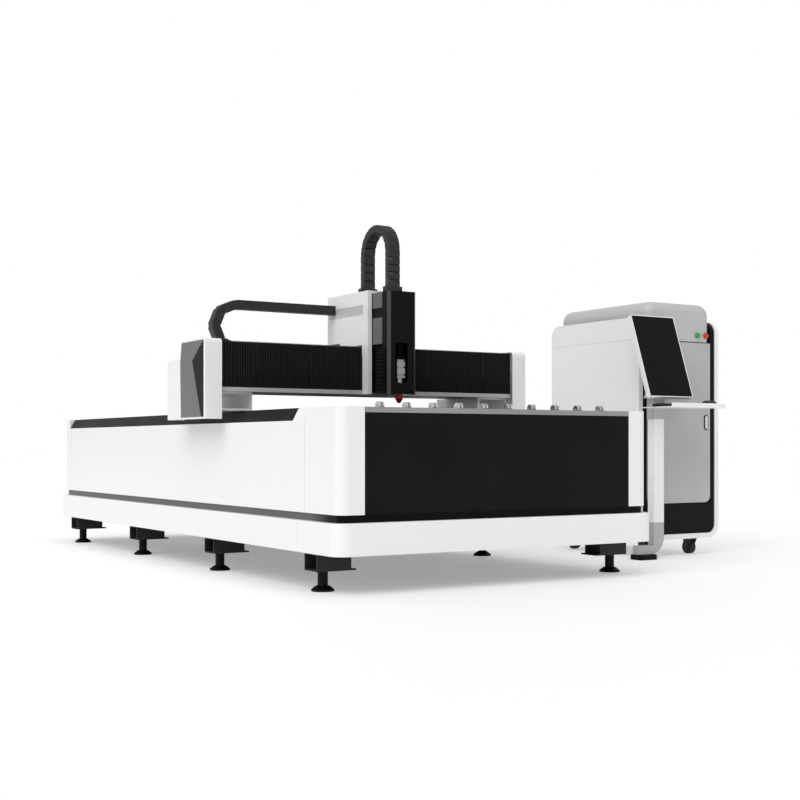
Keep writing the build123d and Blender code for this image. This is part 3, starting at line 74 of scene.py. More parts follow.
# It glows a little to the camera and in reflections, so that it runs into the sky with no horizon.
floor_size, floor_glow, glow_share = 120, 1.4, 0.22
bpy.ops.object.select_all(action="DESELECT")
bpy.ops.mesh.primitive_plane_add(size=floor_size, location=(0, 0, 0))
floor = bpy.context.object
floor.name = "floor"
bpy.ops.object.mode_set(mode="EDIT")
bpy.ops.mesh.subdivide(number_cuts=3)
bpy.ops.object.mode_set(mode="OBJECT")
floor_paint = bpy.data.materials.new("floor_paint")
floor_paint.use_nodes = True
tree = floor_paint.node_tree
surface = tree.nodes["Principled BSDF"]
surface.inputs["Base Color"].default_value = linear("fcfcfc")
surface.inputs["Roughness"].default_value = 0.65
glow = add_node(tree, "ShaderNodeEmission", {"Color": linear("ffffff"), "Strength": floor_glow})
seen = add_node(tree, "ShaderNodeLightPath", {})
sharp = add_node(tree, "ShaderNodeMath", {0: seen.outputs["Is Glossy Ray"],
                                          1: seen.outputs["Is Camera Ray"]}, operation="MAXIMUM")
share = add_node(tree, "ShaderNodeMath", {0: sharp.outputs[0], 1: glow_share}, operation="MULTIPLY")
both = add_node(tree, "ShaderNodeMixShader", {"Fac": share.outputs[0], 1: surface.outputs[0],
                                              2: glow.outputs[0]})
tree.links.new(both.outputs[0], tree.nodes["Material Output"].inputs["Surface"])
floor.data.materials.append(floor_paint)


# Outer sheet metal: skirts, side panels, columns, rear panel, gantry hoods and the cabinet's wrap.
# Folded mild steel with a gloss white powder coat, which flows into a faint orange peel as it cures.
def dress(material, *names):
    """Give CAD nodes their finish."""
    for name in names:
        nodes[name].data.materials.clear()
        nodes[name].data.materials.append(material)


# The peel of a cured coat is 1 to 2 mm wide. It is drawn 9 mm wide here, so that it shows.
white_powder_coat = bpy.data.materials.new("white_powder_coat")
white_powder_coat.use_nodes = True
tree = white_powder_coat.node_tree
place = add_node(tree, "ShaderNodeTexCoord", {})
peel = add_node(tree, "ShaderNodeTexNoise", {"Vector": place.outputs["Object"], "Scale": 110.0,
                                             "Detail": 1.0})
gloss = add_node(tree, "ShaderNodeMapRange", {"Value": peel.outputs["Fac"], "To Min": 0.26, "To Max": 0.28})
bump = add_node(tree, "ShaderNodeBump", {"Height": peel.outputs["Fac"], "Strength": 0.012, "Distance": 0.001})
surface = tree.nodes["Principled BSDF"]
surface.inputs["IOR"].default_value = 1.5
surface.inputs["Coat Weight"].default_value = 0.25
surface.inputs["Coat Roughness"].default_value = 0.12
surface.inputs["Base Color"].default_value = linear("f3f3f3")
tree.links.new(gloss.outputs["Result"], surface.inputs["Roughness"])
tree.links.new(bump.outputs["Normal"], surface.inputs["Normal"])
dress(white_powder_coat, "skirt_front", "skirt_sides", "side_panel_left", "side_panel_right", "rear_panel",
      "corner_columns", "end_cover_left", "end_cover_right", "gantry_saddles", "cabinet_shell",
      "keyboard_tray", "monitor_housing")

# Carriage housing: the same white sheet, with a light grey band of painted shade along each side, at the
# height of the chain's bracket.
shade_band_low, shade_band_high, shade_band_front = 1.560, 1.620, -0.865
carriage_coat = white_powder_coat.copy()
carriage_coat.name = "carriage_coat"
tree = carriage_coat.node_tree
place = add_node(tree, "ShaderNodeTexCoord", {})
axes = add_node(tree, "ShaderNodeSeparateXYZ", {"Vector": place.outputs["Object"]})
# Painted shade: the light grey band at the chain bracket's height, behind the front.
level = add_node(tree, "ShaderNodeMath", {0: axes.outputs["Z"], 1: (shade_band_low + shade_band_high) / 2,
                                          2: (shade_band_high - shade_band_low) / 2}, operation="COMPARE")
behind = add_node(tree, "ShaderNodeMath", {0: axes.outputs["Y"], 1: shade_band_front}, operation="GREATER_THAN")
field = add_node(tree, "ShaderNodeMath", {0: level.outputs[0], 1: behind.outputs[0]}, operation="MULTIPLY")
paint = add_node(tree, "ShaderNodeMix", {"Factor": field.outputs[0], 6: linear("f3f3f3"),
                                         7: linear("cdcdcd")}, data_type="RGBA")
tree.links.new(paint.outputs[2], tree.nodes["Principled BSDF"].inputs["Base Color"])
dress(carriage_coat, "carriage_cover")

# Console post: white square tube with the same coat, welded to a boot that is sprayed light grey up
# to its seam.
boot_top = 0.241
post_coat = white_powder_coat.copy()
post_coat.name = "post_coat"
tree = post_coat.node_tree
place = add_node(tree, "ShaderNodeTexCoord", {})
axes = add_node(tree, "ShaderNodeSeparateXYZ", {"Vector": place.outputs["Object"]})
boot = add_node(tree, "ShaderNodeMath", {0: axes.outputs["Z"], 1: boot_top}, operation="LESS_THAN")
paint = add_node(tree, "ShaderNodeMix", {"Factor": boot.outputs[0], 6: linear("f3f3f3"), 7: linear("b4b4b4")},
                 data_type="RGBA")
tree.links.new(paint.outputs[2], tree.nodes["Principled BSDF"].inputs["Base Color"])
dress(post_coat, "console_post")

# Loading end: a wide dark panel between the columns, with the same coat in satin black. The levelling
# feet, the gantry's drives and black inlay, the cabinet's frame and the console's foot match it.
black_powder_coat = bpy.data.materials.new("black_powder_coat")
black_powder_coat.use_nodes = True
tree = black_powder_coat.node_tree
place = add_node(tree, "ShaderNodeTexCoord", {})
cloud = add_node(tree, "ShaderNodeTexNoise", {"Vector": place.outputs["Object"], "Scale": 3.0, "Detail": 4.0})
shade = add_node(tree, "ShaderNodeValToRGB", {"Fac": cloud.outputs["Fac"]})
shade.color_ramp.elements[0].position = 0.3
shade.color_ramp.elements[0].color = linear("08080a")
shade.color_ramp.elements[1].position = 0.7
shade.color_ramp.elements[1].color = linear("0e0e0f")
gloss = add_node(tree, "ShaderNodeMapRange", {"Value": cloud.outputs["Fac"], "To Min": 0.36, "To Max": 0.5})
grit = add_node(tree, "ShaderNodeTexNoise", {"Vector": place.outputs["Object"], "Scale": 320.0,
                                             "Detail": 2.0})
bump = add_node(tree, "ShaderNodeBump", {"Height": grit.outputs["Fac"], "Strength": 0.12, "Distance": 0.001})
surface = tree.nodes["Principled BSDF"]
surface.inputs["IOR"].default_value = 1.5
surface.inputs["Specular IOR Level"].default_value = 0.12
tree.links.new(shade.outputs["Color"], surface.inputs["Base Color"])
tree.links.new(gloss.outputs["Result"], surface.inputs["Roughness"])
tree.links.new(bump.outputs["Normal"], surface.inputs["Normal"])
dress(black_powder_coat, "front_panel", "levelling_feet", "y_drives", "inlay_black", "cabinet_frame",
      "console_foot")

# Rail guards: black channels that cover the rails, with the same coat. They come in short lengths, and
# a bead of grey sealer shows at each joint.
joint_pitch, joint_share = 0.55, 0.008
guard_coat = black_powder_coat.copy()
guard_coat.name = "guard_coat"
tree = guard_coat.node_tree
place = add_node(tree, "ShaderNodeTexCoord", {})
axes = add_node(tree, "ShaderNodeSeparateXYZ", {"Vector": place.outputs["Object"]})
lengths = add_node(tree, "ShaderNodeMath", {0: axes.outputs["Y"], 1: joint_pitch}, operation="DIVIDE")
part_way = add_node(tree, "ShaderNodeMath", {0: lengths.outputs[0]}, operation="FRACT")
bead = add_node(tree, "ShaderNodeMath", {0: part_way.outputs[0], 1: joint_share}, operation="LESS_THAN")
paint = add_node(tree, "ShaderNodeMix", {"Factor": bead.outputs[0], 6: linear("0c0c0d"), 7: linear("3d3e3f")},
                 data_type="RGBA")
tree.links.new(paint.outputs[2], tree.nodes["Principled BSDF"].inputs["Base Color"])
dress(guard_coat, "rail_guards")

# Vertical axis cover: a folded hood in the same black, with both long edges in dark grey as a painted
# highlight, where they catch the light.
cover_low, cover_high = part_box("z_cover")
highlight_width, edge_margin = 0.018, 0.0004
cover_coat = black_powder_coat.copy()
cover_coat.name = "cover_coat"
tree = cover_coat.node_tree
place = add_node(tree, "ShaderNodeTexCoord", {})
axes = add_node(tree, "ShaderNodeSeparateXYZ", {"Vector": place.outputs["Object"]})
aside = add_node(tree, "ShaderNodeMath", {0: axes.outputs["X"], 1: (cover_low.x + cover_high.x) / 2},
                 operation="SUBTRACT")
reach = add_node(tree, "ShaderNodeMath", {0: aside.outputs[0]}, operation="ABSOLUTE")
edge = add_node(tree, "ShaderNodeMath", {0: reach.outputs[0], 1: (cover_high.x - cover_low.x - highlight_width) / 2,
                                         2: highlight_width / 2 - edge_margin}, operation="COMPARE")
# Painted highlight: the dark grey along both long edges.
paint = add_node(tree, "ShaderNodeMix", {"Factor": edge.outputs[0], 6: linear("0a0a0b"), 7: linear("4b4c4d")},
                 data_type="RGBA")
tree.links.new(paint.outputs[2], tree.nodes["Principled BSDF"].inputs["Base Color"])
dress(cover_coat, "z_cover")


# Grey field on the gantry's left hood: a panel let into the white sheet, with the same powder coat
# in a satin mid grey.
def satin_coat(name, dark, pale, smooth, rough):
    """Powder coat with a faint cloud in shade and gloss, over a peel drawn 8 mm wide so that it shows."""
    coat = bpy.data.materials.new(name)
    coat.use_nodes = True
    tree = coat.node_tree
    place = add_node(tree, "ShaderNodeTexCoord", {})
    cloud = add_node(tree, "ShaderNodeTexNoise", {"Vector": place.outputs["Object"], "Scale": 2.6,
                                                  "Detail": 3.0})
    shade = add_node(tree, "ShaderNodeValToRGB", {"Fac": cloud.outputs["Fac"]})
    shade.color_ramp.elements[0].position = 0.3
    shade.color_ramp.elements[0].color = linear(dark)
    shade.color_ramp.elements[1].position = 0.7
    shade.color_ramp.elements[1].color = linear(pale)
    gloss = add_node(tree, "ShaderNodeMapRange", {"Value": cloud.outputs["Fac"], "To Min": smooth,
                                                  "To Max": rough})
    peel = add_node(tree, "ShaderNodeTexNoise", {"Vector": place.outputs["Object"], "Scale": 130.0,
                                                 "Detail": 1.0})
    bump = add_node(tree, "ShaderNodeBump", {"Height": peel.outputs["Fac"], "Strength": 0.05,
                                             "Distance": 0.002})
    surface = tree.nodes["Principled BSDF"]
    surface.inputs["IOR"].default_value = 1.5
    tree.links.new(shade.outputs["Color"], surface.inputs["Base Color"])
    tree.links.new(gloss.outputs["Result"], surface.inputs["Roughness"])
    tree.links.new(bump.outputs["Normal"], surface.inputs["Normal"])
    return coat


grey_powder_coat = satin_coat("grey_powder_coat", "616263", "696a6b", smooth=0.32, rough=0.44)
dress(grey_powder_coat, "inlay_grey")

# Waist band: the recessed strip between skirt and panels. It is grey along the sides, and black
# across the loading end and round both front corners, to run on from the dark panel.
grey_from, black_from = -1.9, -2.1
waist_coat = grey_powder_coat.copy()
waist_coat.name = "waist_coat"
tree = waist_coat.node_tree
place = add_node(tree, "ShaderNodeTexCoord", {})
axes = add_node(tree, "ShaderNodeSeparateXYZ", {"Vector": place.outputs["Object"]})
along = add_node(tree, "ShaderNodeMapRange", {"Value": axes.outputs["Y"], "From Min": black_from,
                                              "From Max": grey_from})
paint = add_node(tree, "ShaderNodeMix", {"Factor": along.outputs["Result"], 6: linear("040405"),
                                         7: linear("6a6b6c")}, data_type="RGBA")
tree.links.new(paint.outputs[2], tree.nodes["Principled BSDF"].inputs["Base Color"])
tree.nodes["Principled BSDF"].inputs["Specular IOR Level"].default_value = 0.1
dress(waist_coat, "waist_band")

# Vertical axis housing: grey sheet box over motor and screw, with a black strip of painted shade at the level
# of the chain's bracket.
shade_strip_low, shade_strip_high = 1.532, 1.592
axis_coat = grey_powder_coat.copy()
axis_coat.name = "axis_coat"
tree = axis_coat.node_tree
place = add_node(tree, "ShaderNodeTexCoord", {})
axes = add_node(tree, "ShaderNodeSeparateXYZ", {"Vector": place.outputs["Object"]})
level = add_node(tree, "ShaderNodeMath", {0: axes.outputs["Z"], 1: (shade_strip_low + shade_strip_high) / 2,
                                          2: (shade_strip_high - shade_strip_low) / 2}, operation="COMPARE")
# Painted shade: the black strip at the chain bracket's height.
paint = add_node(tree, "ShaderNodeMix", {"Factor": level.outputs[0], 6: linear("6d6e70"),
                                         7: linear("0a0a0b")}, data_type="RGBA")
tree.links.new(paint.outputs[2], tree.nodes["Principled BSDF"].inputs["Base Color"])
tree.nodes["Principled BSDF"].inputs["Specular IOR Level"].default_value = 0.12
dress(axis_coat, "z_housing")

# Light grey trim: the cabinet's door, the gantry beam and the console's head. The same powder coat,
# sprayed in a satin light grey.
light_smooth, light_rough = 0.3, 0.42
light_grey_powder_coat = satin_coat("light_grey_powder_coat", "afb0b1", "b9babb", light_smooth, light_rough)
dress(light_grey_powder_coat, "cabinet_door", "gantry_beam", "console_head")

# Sill of the loading end: folded strip that carries the rollers, in a grey a tone darker than the door's.
sill_coat = satin_coat("sill_coat", "8d8e8f", "959697", light_smooth, light_rough)
dress(sill_coat, "front_sill")

# Cabinet cap: a deep rounded lid of folded sheet with the same light grey coat as the door, painted a tone
# lighter as painted light, since more light falls on the cap.
cap_coat = satin_coat("cap_coat", "b9babb", "bebfc0", light_smooth, light_rough)
dress(cap_coat, "cabinet_cap")

# Door handle: a recessed pull of pale painted zinc, pressed flush into the door, with a thin dark outline of
# painted shade where the gap round it falls in shadow.
handle_low, handle_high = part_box("door_handle")
handle_middle = (handle_low + handle_high) / 2
handle_radius = (handle_high.x - handle_low.x) / 2
handle_reach = (handle_high.z - handle_low.z) / 2 - handle_radius
handle_gap_shade = 0.007
handle_coat = light_grey_powder_coat.copy()
handle_coat.name = "handle_coat"
tree = handle_coat.node_tree
place = add_node(tree, "ShaderNodeTexCoord", {})
axes = add_node(tree, "ShaderNodeSeparateXYZ", {"Vector": place.outputs["Object"]})
aside = add_node(tree, "ShaderNodeMath", {0: axes.outputs["X"], 1: handle_middle.x}, operation="SUBTRACT")
above = add_node(tree, "ShaderNodeMath", {0: axes.outputs["Z"], 1: handle_middle.z}, operation="SUBTRACT")
height = add_node(tree, "ShaderNodeMath", {0: above.outputs[0]}, operation="ABSOLUTE")
past = add_node(tree, "ShaderNodeMath", {0: height.outputs[0], 1: handle_reach}, operation="SUBTRACT")
round_end = add_node(tree, "ShaderNodeMath", {0: past.outputs[0], 1: 0.0}, operation="MAXIMUM")
flat = add_node(tree, "ShaderNodeCombineXYZ", {"X": aside.outputs[0], "Z": round_end.outputs[0]})
away = add_node(tree, "ShaderNodeVectorMath", {0: flat.outputs["Vector"]}, operation="LENGTH")
# Painted shade: the thin dark ring round the pull.
edge = add_node(tree, "ShaderNodeMath", {0: away.outputs["Value"], 1: handle_radius - handle_gap_shade},
                operation="GREATER_THAN")
paint = add_node(tree, "ShaderNodeMix", {"Factor": edge.outputs[0], 6: linear("d8d9da"), 7: linear("1b1b1c")},
                 data_type="RGBA")
tree.links.new(paint.outputs[2], tree.nodes["Principled BSDF"].inputs["Base Color"])
dress(handle_coat, "door_handle")

# Welded frame: square tube under the panels and the brackets that stand out over the feet.
# Mild steel with a matt dark primer, sprayed by hand, so that it looks a little dusty.
dark_primer = bpy.data.materials.new("dark_primer")
dark_primer.use_nodes = True
tree = dark_primer.node_tree
place = add_node(tree, "ShaderNodeTexCoord", {})
dust = add_node(tree, "ShaderNodeTexNoise", {"Vector": place.outputs["Object"], "Scale": 9.0, "Detail": 6.0})
shade = add_node(tree, "ShaderNodeValToRGB", {"Fac": dust.outputs["Fac"]})
shade.color_ramp.elements[0].position = 0.35
shade.color_ramp.elements[0].color = linear("0c0c0d")
shade.color_ramp.elements[1].position = 0.75
shade.color_ramp.elements[1].color = linear("1b1b1c")
spray = add_node(tree, "ShaderNodeTexNoise", {"Vector": place.outputs["Object"], "Scale": 420.0,
                                              "Detail": 2.0})
bump = add_node(tree, "ShaderNodeBump", {"Height": spray.outputs["Fac"], "Strength": 0.2, "Distance": 0.001})
surface = tree.nodes["Principled BSDF"]
surface.inputs["Roughness"].default_value = 0.6
tree.links.new(shade.outputs["Color"], surface.inputs["Base Color"])
tree.links.new(bump.outputs["Normal"], surface.inputs["Normal"])
dress(dark_primer, "bed_frame")

# Rails and racks: hardened steel, ground along its length to a fine grain, which draws each highlight
# out into a streak.
ground_steel = bpy.data.materials.new("ground_steel")
ground_steel.use_nodes = True
tree = ground_steel.node_tree
place = add_node(tree, "ShaderNodeTexCoord", {})
along = add_node(tree, "ShaderNodeMapping", {"Vector": place.outputs["Object"], "Scale": (260.0, 6.0, 260.0)})
grain = add_node(tree, "ShaderNodeTexNoise", {"Vector": along.outputs["Vector"], "Scale": 1.0, "Detail": 3.0})
gloss = add_node(tree, "ShaderNodeMapRange", {"Value": grain.outputs["Fac"], "To Min": 0.18, "To Max": 0.38},
                 name="gloss")
bump = add_node(tree, "ShaderNodeBump", {"Height": grain.outputs["Fac"], "Strength": 0.08, "Distance": 0.001})
surface = tree.nodes["Principled BSDF"]
surface.inputs["Base Color"].default_value = linear("c3c4c6")
surface.inputs["Metallic"].default_value = 1.0
tree.links.new(gloss.outputs["Result"], surface.inputs["Roughness"])
tree.links.new(bump.outputs["Normal"], surface.inputs["Normal"])
dress(ground_steel, "y_rails", "beam_rails")

# Loading rollers: paired discs of the same steel, turned, and polished by the sheets that roll over
# them until they are bright.
polished_steel = ground_steel.copy()
polished_steel.name = "polished_steel"
polished_steel.node_tree.nodes["Principled BSDF"].inputs["Base Color"].default_value = linear("e4e5e7")
shine = polished_steel.node_tree.nodes["gloss"]
shine.inputs["To Min"].default_value = 0.08
shine.inputs["To Max"].default_value = 0.18
dress(polished_steel, "loading_rollers")

# Cutting table: toothed slats that carry the sheet, and the trays that catch the slag. Plain hot
# rolled steel, heat tinted and spattered brown where the beam has passed over it.
burnt_steel = bpy.data.materials.new("burnt_steel")
burnt_steel.use_nodes = True
tree = burnt_steel.node_tree
place = add_node(tree, "ShaderNodeTexCoord", {})
scorch = add_node(tree, "ShaderNodeTexNoise", {"Vector": place.outputs["Object"], "Scale": 14.0,
                                               "Detail": 8.0, "Roughness": 0.65})
tint = add_node(tree, "ShaderNodeValToRGB", {"Fac": scorch.outputs["Fac"]})
tint.color_ramp.elements[0].position = 0.32
tint.color_ramp.elements[0].color = linear("3b342f")
tint.color_ramp.elements[1].position = 0.72
tint.color_ramp.elements[1].color = linear("8f8d8a")
middle = tint.color_ramp.elements.new(0.5)
middle.color = linear("6b625b")
spatter = add_node(tree, "ShaderNodeTexVoronoi", {"Vector": place.outputs["Object"], "Scale": 90.0})
bump = add_node(tree, "ShaderNodeBump", {"Height": spatter.outputs["Distance"], "Strength": 0.25,
                                         "Distance": 0.002})
surface = tree.nodes["Principled BSDF"]
surface.inputs["Metallic"].default_value = 0.75
surface.inputs["Roughness"].default_value = 0.55
tree.links.new(tint.outputs["Color"], surface.inputs["Base Color"])
tree.links.new(bump.outputs["Normal"], surface.inputs["Normal"])
dress(burnt_steel, "slats", "slag_trays")

# Laser source in the cabinet: an aluminium case, milled, bead blasted and clear anodised, so that it
# is pale and even with a soft shine.
blasted_aluminium = bpy.data.materials.new("blasted_aluminium")
blasted_aluminium.use_nodes = True
tree = blasted_aluminium.node_tree
place = add_node(tree, "ShaderNodeTexCoord", {})
bead = add_node(tree, "ShaderNodeTexNoise", {"Vector": place.outputs["Object"], "Scale": 600.0,
                                             "Detail": 2.0})
gloss = add_node(tree, "ShaderNodeMapRange", {"Value": bead.outputs["Fac"], "To Min": 0.3, "To Max": 0.46})
bump = add_node(tree, "ShaderNodeBump", {"Height": bead.outputs["Fac"], "Strength": 0.15, "Distance": 0.0006})
surface = tree.nodes["Principled BSDF"]
surface.inputs["Base Color"].default_value = linear("cfd0d2")
surface.inputs["Metallic"].default_value = 1.0
tree.links.new(gloss.outputs["Result"], surface.inputs["Roughness"])
tree.links.new(bump.outputs["Normal"], surface.inputs["Normal"])
dress(blasted_aluminium, "laser_source")

# Carriage and vertical axis plates: the same blasted aluminium, anodised black, so that they drop back
# behind the bellows between them.
black_anodised = blasted_aluminium.copy()
black_anodised.name = "black_anodised"
black_anodised.node_tree.nodes["Principled BSDF"].inputs["Base Color"].default_value = linear("2a2a2b")
dress(black_anodised, "carriage_plate", "z_plate")

# Cutting head: ringed optics block of the same aluminium, a shade darker, under a black anodised
# collimator tube.
black_above = 1.272
head_anodised = blasted_aluminium.copy()
head_anodised.name = "head_anodised"
tree = head_anodised.node_tree
place = add_node(tree, "ShaderNodeTexCoord", {})
axes = add_node(tree, "ShaderNodeSeparateXYZ", {"Vector": place.outputs["Object"]})
tube = add_node(tree, "ShaderNodeMath", {0: axes.outputs["Z"], 1: black_above}, operation="GREATER_THAN")
paint = add_node(tree, "ShaderNodeMix", {"Factor": tube.outputs[0], 6: linear("a3a4a6"), 7: linear("0d0d0e")},
                 data_type="RGBA")
tree.links.new(paint.outputs[2], tree.nodes["Principled BSDF"].inputs["Base Color"])
dress(head_anodised, "cutting_head")

# Nozzle cone under the head: turned aluminium, anodised dark red. It is the one bright spot of colour
# on the gantry.
red_anodised = bpy.data.materials.new("red_anodised")
red_anodised.use_nodes = True
tree = red_anodised.node_tree
place = add_node(tree, "ShaderNodeTexCoord", {})
turned = add_node(tree, "ShaderNodeTexNoise", {"Vector": place.outputs["Object"], "Scale": 180.0,
                                               "Detail": 2.0})
gloss = add_node(tree, "ShaderNodeMapRange", {"Value": turned.outputs["Fac"], "To Min": 0.22, "To Max": 0.36})
surface = tree.nodes["Principled BSDF"]
surface.inputs["Base Color"].default_value = linear("85121d")
surface.inputs["Metallic"].default_value = 0.6
tree.links.new(gloss.outputs["Result"], surface.inputs["Roughness"])
dress(red_anodised, "nozzle")

# Moulded nylon: drag chain links, castor forks, the keyboard and the mouse. It is injection moulded
# with a fine spark eroded texture, so it is dull and even.
moulded_nylon = bpy.data.materials.new("moulded_nylon")
moulded_nylon.use_nodes = True
tree = moulded_nylon.node_tree
place = add_node(tree, "ShaderNodeTexCoord", {})
spark = add_node(tree, "ShaderNodeTexNoise", {"Vector": place.outputs["Object"], "Scale": 380.0,
                                              "Detail": 3.0})
gloss = add_node(tree, "ShaderNodeMapRange", {"Value": spark.outputs["Fac"], "To Min": 0.42, "To Max": 0.6})
bump = add_node(tree, "ShaderNodeBump", {"Height": spark.outputs["Fac"], "Strength": 0.2, "Distance": 0.0008})
surface = tree.nodes["Principled BSDF"]
surface.inputs["Base Color"].default_value = linear("151617")
surface.inputs["IOR"].default_value = 1.53
tree.links.new(gloss.outputs["Result"], surface.inputs["Roughness"])
tree.links.new(bump.outputs["Normal"], surface.inputs["Normal"])
dress(moulded_nylon, "x_chain_loop", "keyboard_and_mouse", "castor_fork_1", "castor_fork_2", "castor_fork_3",
      "castor_fork_4")


# Drag chains: the upper run over the gantry, between the loop and the carriage, and the arch that feeds the
# vertical axis. Each is a welded copy that keeps its links.
weld_distance = 0.00001
link_fold, pleat_fold = 0.5, 0.05


def flexing_copy(node, fold):
    """A welded copy of a CAD node's mesh that takes its place, with an edge at each turn over fold."""
    bpy.ops.object.select_all(action="DESELECT")
    copy = bpy.data.objects.new(node + "_flex", nodes[node].data.copy())
    bpy.context.scene.collection.objects.link(copy)
    bpy.context.view_layer.objects.active = copy
    copy.select_set(True)
    bpy.ops.object.mode_set(mode="EDIT")
    bpy.ops.mesh.select_all(action="SELECT")
    bpy.ops.mesh.remove_doubles(threshold=weld_distance)
    bpy.ops.object.mode_set(mode="OBJECT")
    bpy.ops.object.shade_smooth_by_angle(angle=fold)
    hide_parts(node)
    return copy


upper_run = flexing_copy("x_chain_upper", link_fold)
upper_run.data.materials.clear()
upper_run.data.materials.append(moulded_nylon)
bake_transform(upper_run)

arch = flexing_copy("z_chain", link_fold)
arch.data.materials.clear()
arch.data.materials.append(moulded_nylon)
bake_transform(arch)

# Bellows cloth: polyester coated with black polyurethane, which keeps dust off the gantry's rails and
# the vertical axis screw. It is stiff along each fold and dull, with a fine weave under the coat.
coated_cloth = bpy.data.materials.new("coated_cloth")
coated_cloth.use_nodes = True
tree = coated_cloth.node_tree
place = add_node(tree, "ShaderNodeTexCoord", {})
threads = add_node(tree, "ShaderNodeMapping", {"Vector": place.outputs["Object"],
                                               "Scale": (300.0, 300.0, 300.0)})
weave = add_node(tree, "ShaderNodeTexBrick", {"Vector": threads.outputs["Vector"], "Scale": 1.0})
wrinkle = add_node(tree, "ShaderNodeTexNoise", {"Vector": place.outputs["Object"], "Scale": 40.0,
                                                "Detail": 4.0})
shade = add_node(tree, "ShaderNodeValToRGB", {"Fac": wrinkle.outputs["Fac"]})
shade.color_ramp.elements[0].position = 0.3
shade.color_ramp.elements[0].color = linear("040405")
shade.color_ramp.elements[1].position = 0.75
shade.color_ramp.elements[1].color = linear("0a0a0b")
bump = add_node(tree, "ShaderNodeBump", {"Height": weave.outputs["Fac"], "Strength": 0.15, "Distance": 0.001})
surface = tree.nodes["Principled BSDF"]
surface.inputs["Roughness"].default_value = 0.68
surface.inputs["Specular IOR Level"].default_value = 0.15
surface.inputs["Sheen Weight"].default_value = 0.03
surface.inputs["Sheen Roughness"].default_value = 0.5
tree.links.new(shade.outputs["Color"], surface.inputs["Base Color"])
tree.links.new(bump.outputs["Normal"], surface.inputs["Normal"])

# Gantry bellows: the same cloth, paler on the outer folds as a painted highlight and dark down in the pleats
# as painted shade. Each is cut into equal sections.
left_low, left_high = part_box("bellows_left")
right_low, right_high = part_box("bellows_right")
pleat_depth = 0.016
pleat_cloth = coated_cloth.copy()
pleat_cloth.name = "pleat_cloth"
tree = pleat_cloth.node_tree
place = add_node(tree, "ShaderNodeTexCoord", {})
axes = add_node(tree, "ShaderNodeSeparateXYZ", {"Vector": place.outputs["Object"]})
crest_to_crease_shade = add_node(tree, "ShaderNodeMapRange", {"Value": axes.outputs["Y"], "From Min": left_low.y,
                                                "From Max": left_low.y + pleat_depth})
# Painted highlight on the fold crests, fading to painted shade down in the pleats.
paint = add_node(tree, "ShaderNodeMix", {"Factor": crest_to_crease_shade.outputs["Result"], 6: linear("252527"),
                                         7: linear("020203")}, data_type="RGBA")
tree.links.new(paint.outputs[2], tree.nodes["Principled BSDF"].inputs["Base Color"])
tree.nodes["Principled BSDF"].inputs["Specular IOR Level"].default_value = 0.25
tree.nodes["Principled BSDF"].inputs["Sheen Weight"].default_value = 0.05


# Share of the travel at each cut, and how the place on the blend's S curve with that share is found.
travel_shares = (0.0, 0.075, 0.22, 0.36, 0.5, 0.64, 0.78, 0.925, 1.0)
curve_rounds, least_slope = 40, 0.05


def bellows_sections(node, low_x, high_x):
    """Cut one bellows into equal sections along its length."""
    count = len(travel_shares) - 1
    whole = flexing_copy(node, pleat_fold)
    whole.data.materials.clear()
    whole.data.materials.append(pleat_cloth)
    for index in range(count):
        bpy.ops.object.select_all(action="DESELECT")
        part = bpy.data.objects.new(f"{node}_{index + 1}", whole.data.copy())
        bpy.context.scene.collection.objects.link(part)
        bpy.context.view_layer.objects.active = part
        part.select_set(True)
        bounds = [low_x + (high_x - low_x) * ((index + side) / count) for side in (0, 1)]
        bpy.ops.object.mode_set(mode="EDIT")
        for cut, outer in zip(bounds, (True, False)):
            bpy.ops.mesh.select_all(action="SELECT")
            bpy.ops.mesh.bisect(plane_co=(cut, 0, 0), plane_no=(1, 0, 0), use_fill=True,
                                clear_inner=outer, clear_outer=not outer)
        bpy.ops.object.mode_set(mode="OBJECT")
        for share in travel_shares[index : index + 2]:
            turn = 0.5
            for _ in range(curve_rounds):
                slope = max(6 * turn * (1 - turn), least_slope)
                turn -= (turn * turn * (3 - 2 * turn) - share) / slope
                turn = min(max(turn, 0.0), 1.0)
        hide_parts(node)
        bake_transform(part)
    bpy.data.objects.remove(whole)


bellows_sections("bellows_left", left_low.x, left_high.x)
bellows_sections("bellows_right", right_low.x, right_high.x)

# Vertical axis bellows: a short stack of level pleats in the same cloth, between the plates.
axis_bellows = flexing_copy("z_bellows", pleat_fold)
axis_bellows.data.materials.clear()
axis_bellows.data.materials.append(coated_cloth)
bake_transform(axis_bellows)

# Cabinet buttons: a green one that starts and a red one that stops, each a moulded
# polycarbonate lens with a soft gloss.
green_lens = bpy.data.materials.new("green_lens")
green_lens.use_nodes = True
tree = green_lens.node_tree
place = add_node(tree, "ShaderNodeTexCoord", {})
prism = add_node(tree, "ShaderNodeTexVoronoi", {"Vector": place.outputs["Object"], "Scale": 300.0})
bump = add_node(tree, "ShaderNodeBump", {"Height": prism.outputs["Distance"], "Strength": 0.1,
                                         "Distance": 0.001})
surface = tree.nodes["Principled BSDF"]
surface.inputs["Base Color"].default_value = linear("2f9a4e")
surface.inputs["Roughness"].default_value = 0.25
surface.inputs["IOR"].default_value = 1.58
tree.links.new(bump.outputs["Normal"], surface.inputs["Normal"])
dress(green_lens, "start_button")
red_lens = green_lens.copy()
red_lens.name = "red_lens"
red_lens.node_tree.nodes["Principled BSDF"].inputs["Base Color"].default_value = linear("c62a22")
dress(red_lens, "stop_button")

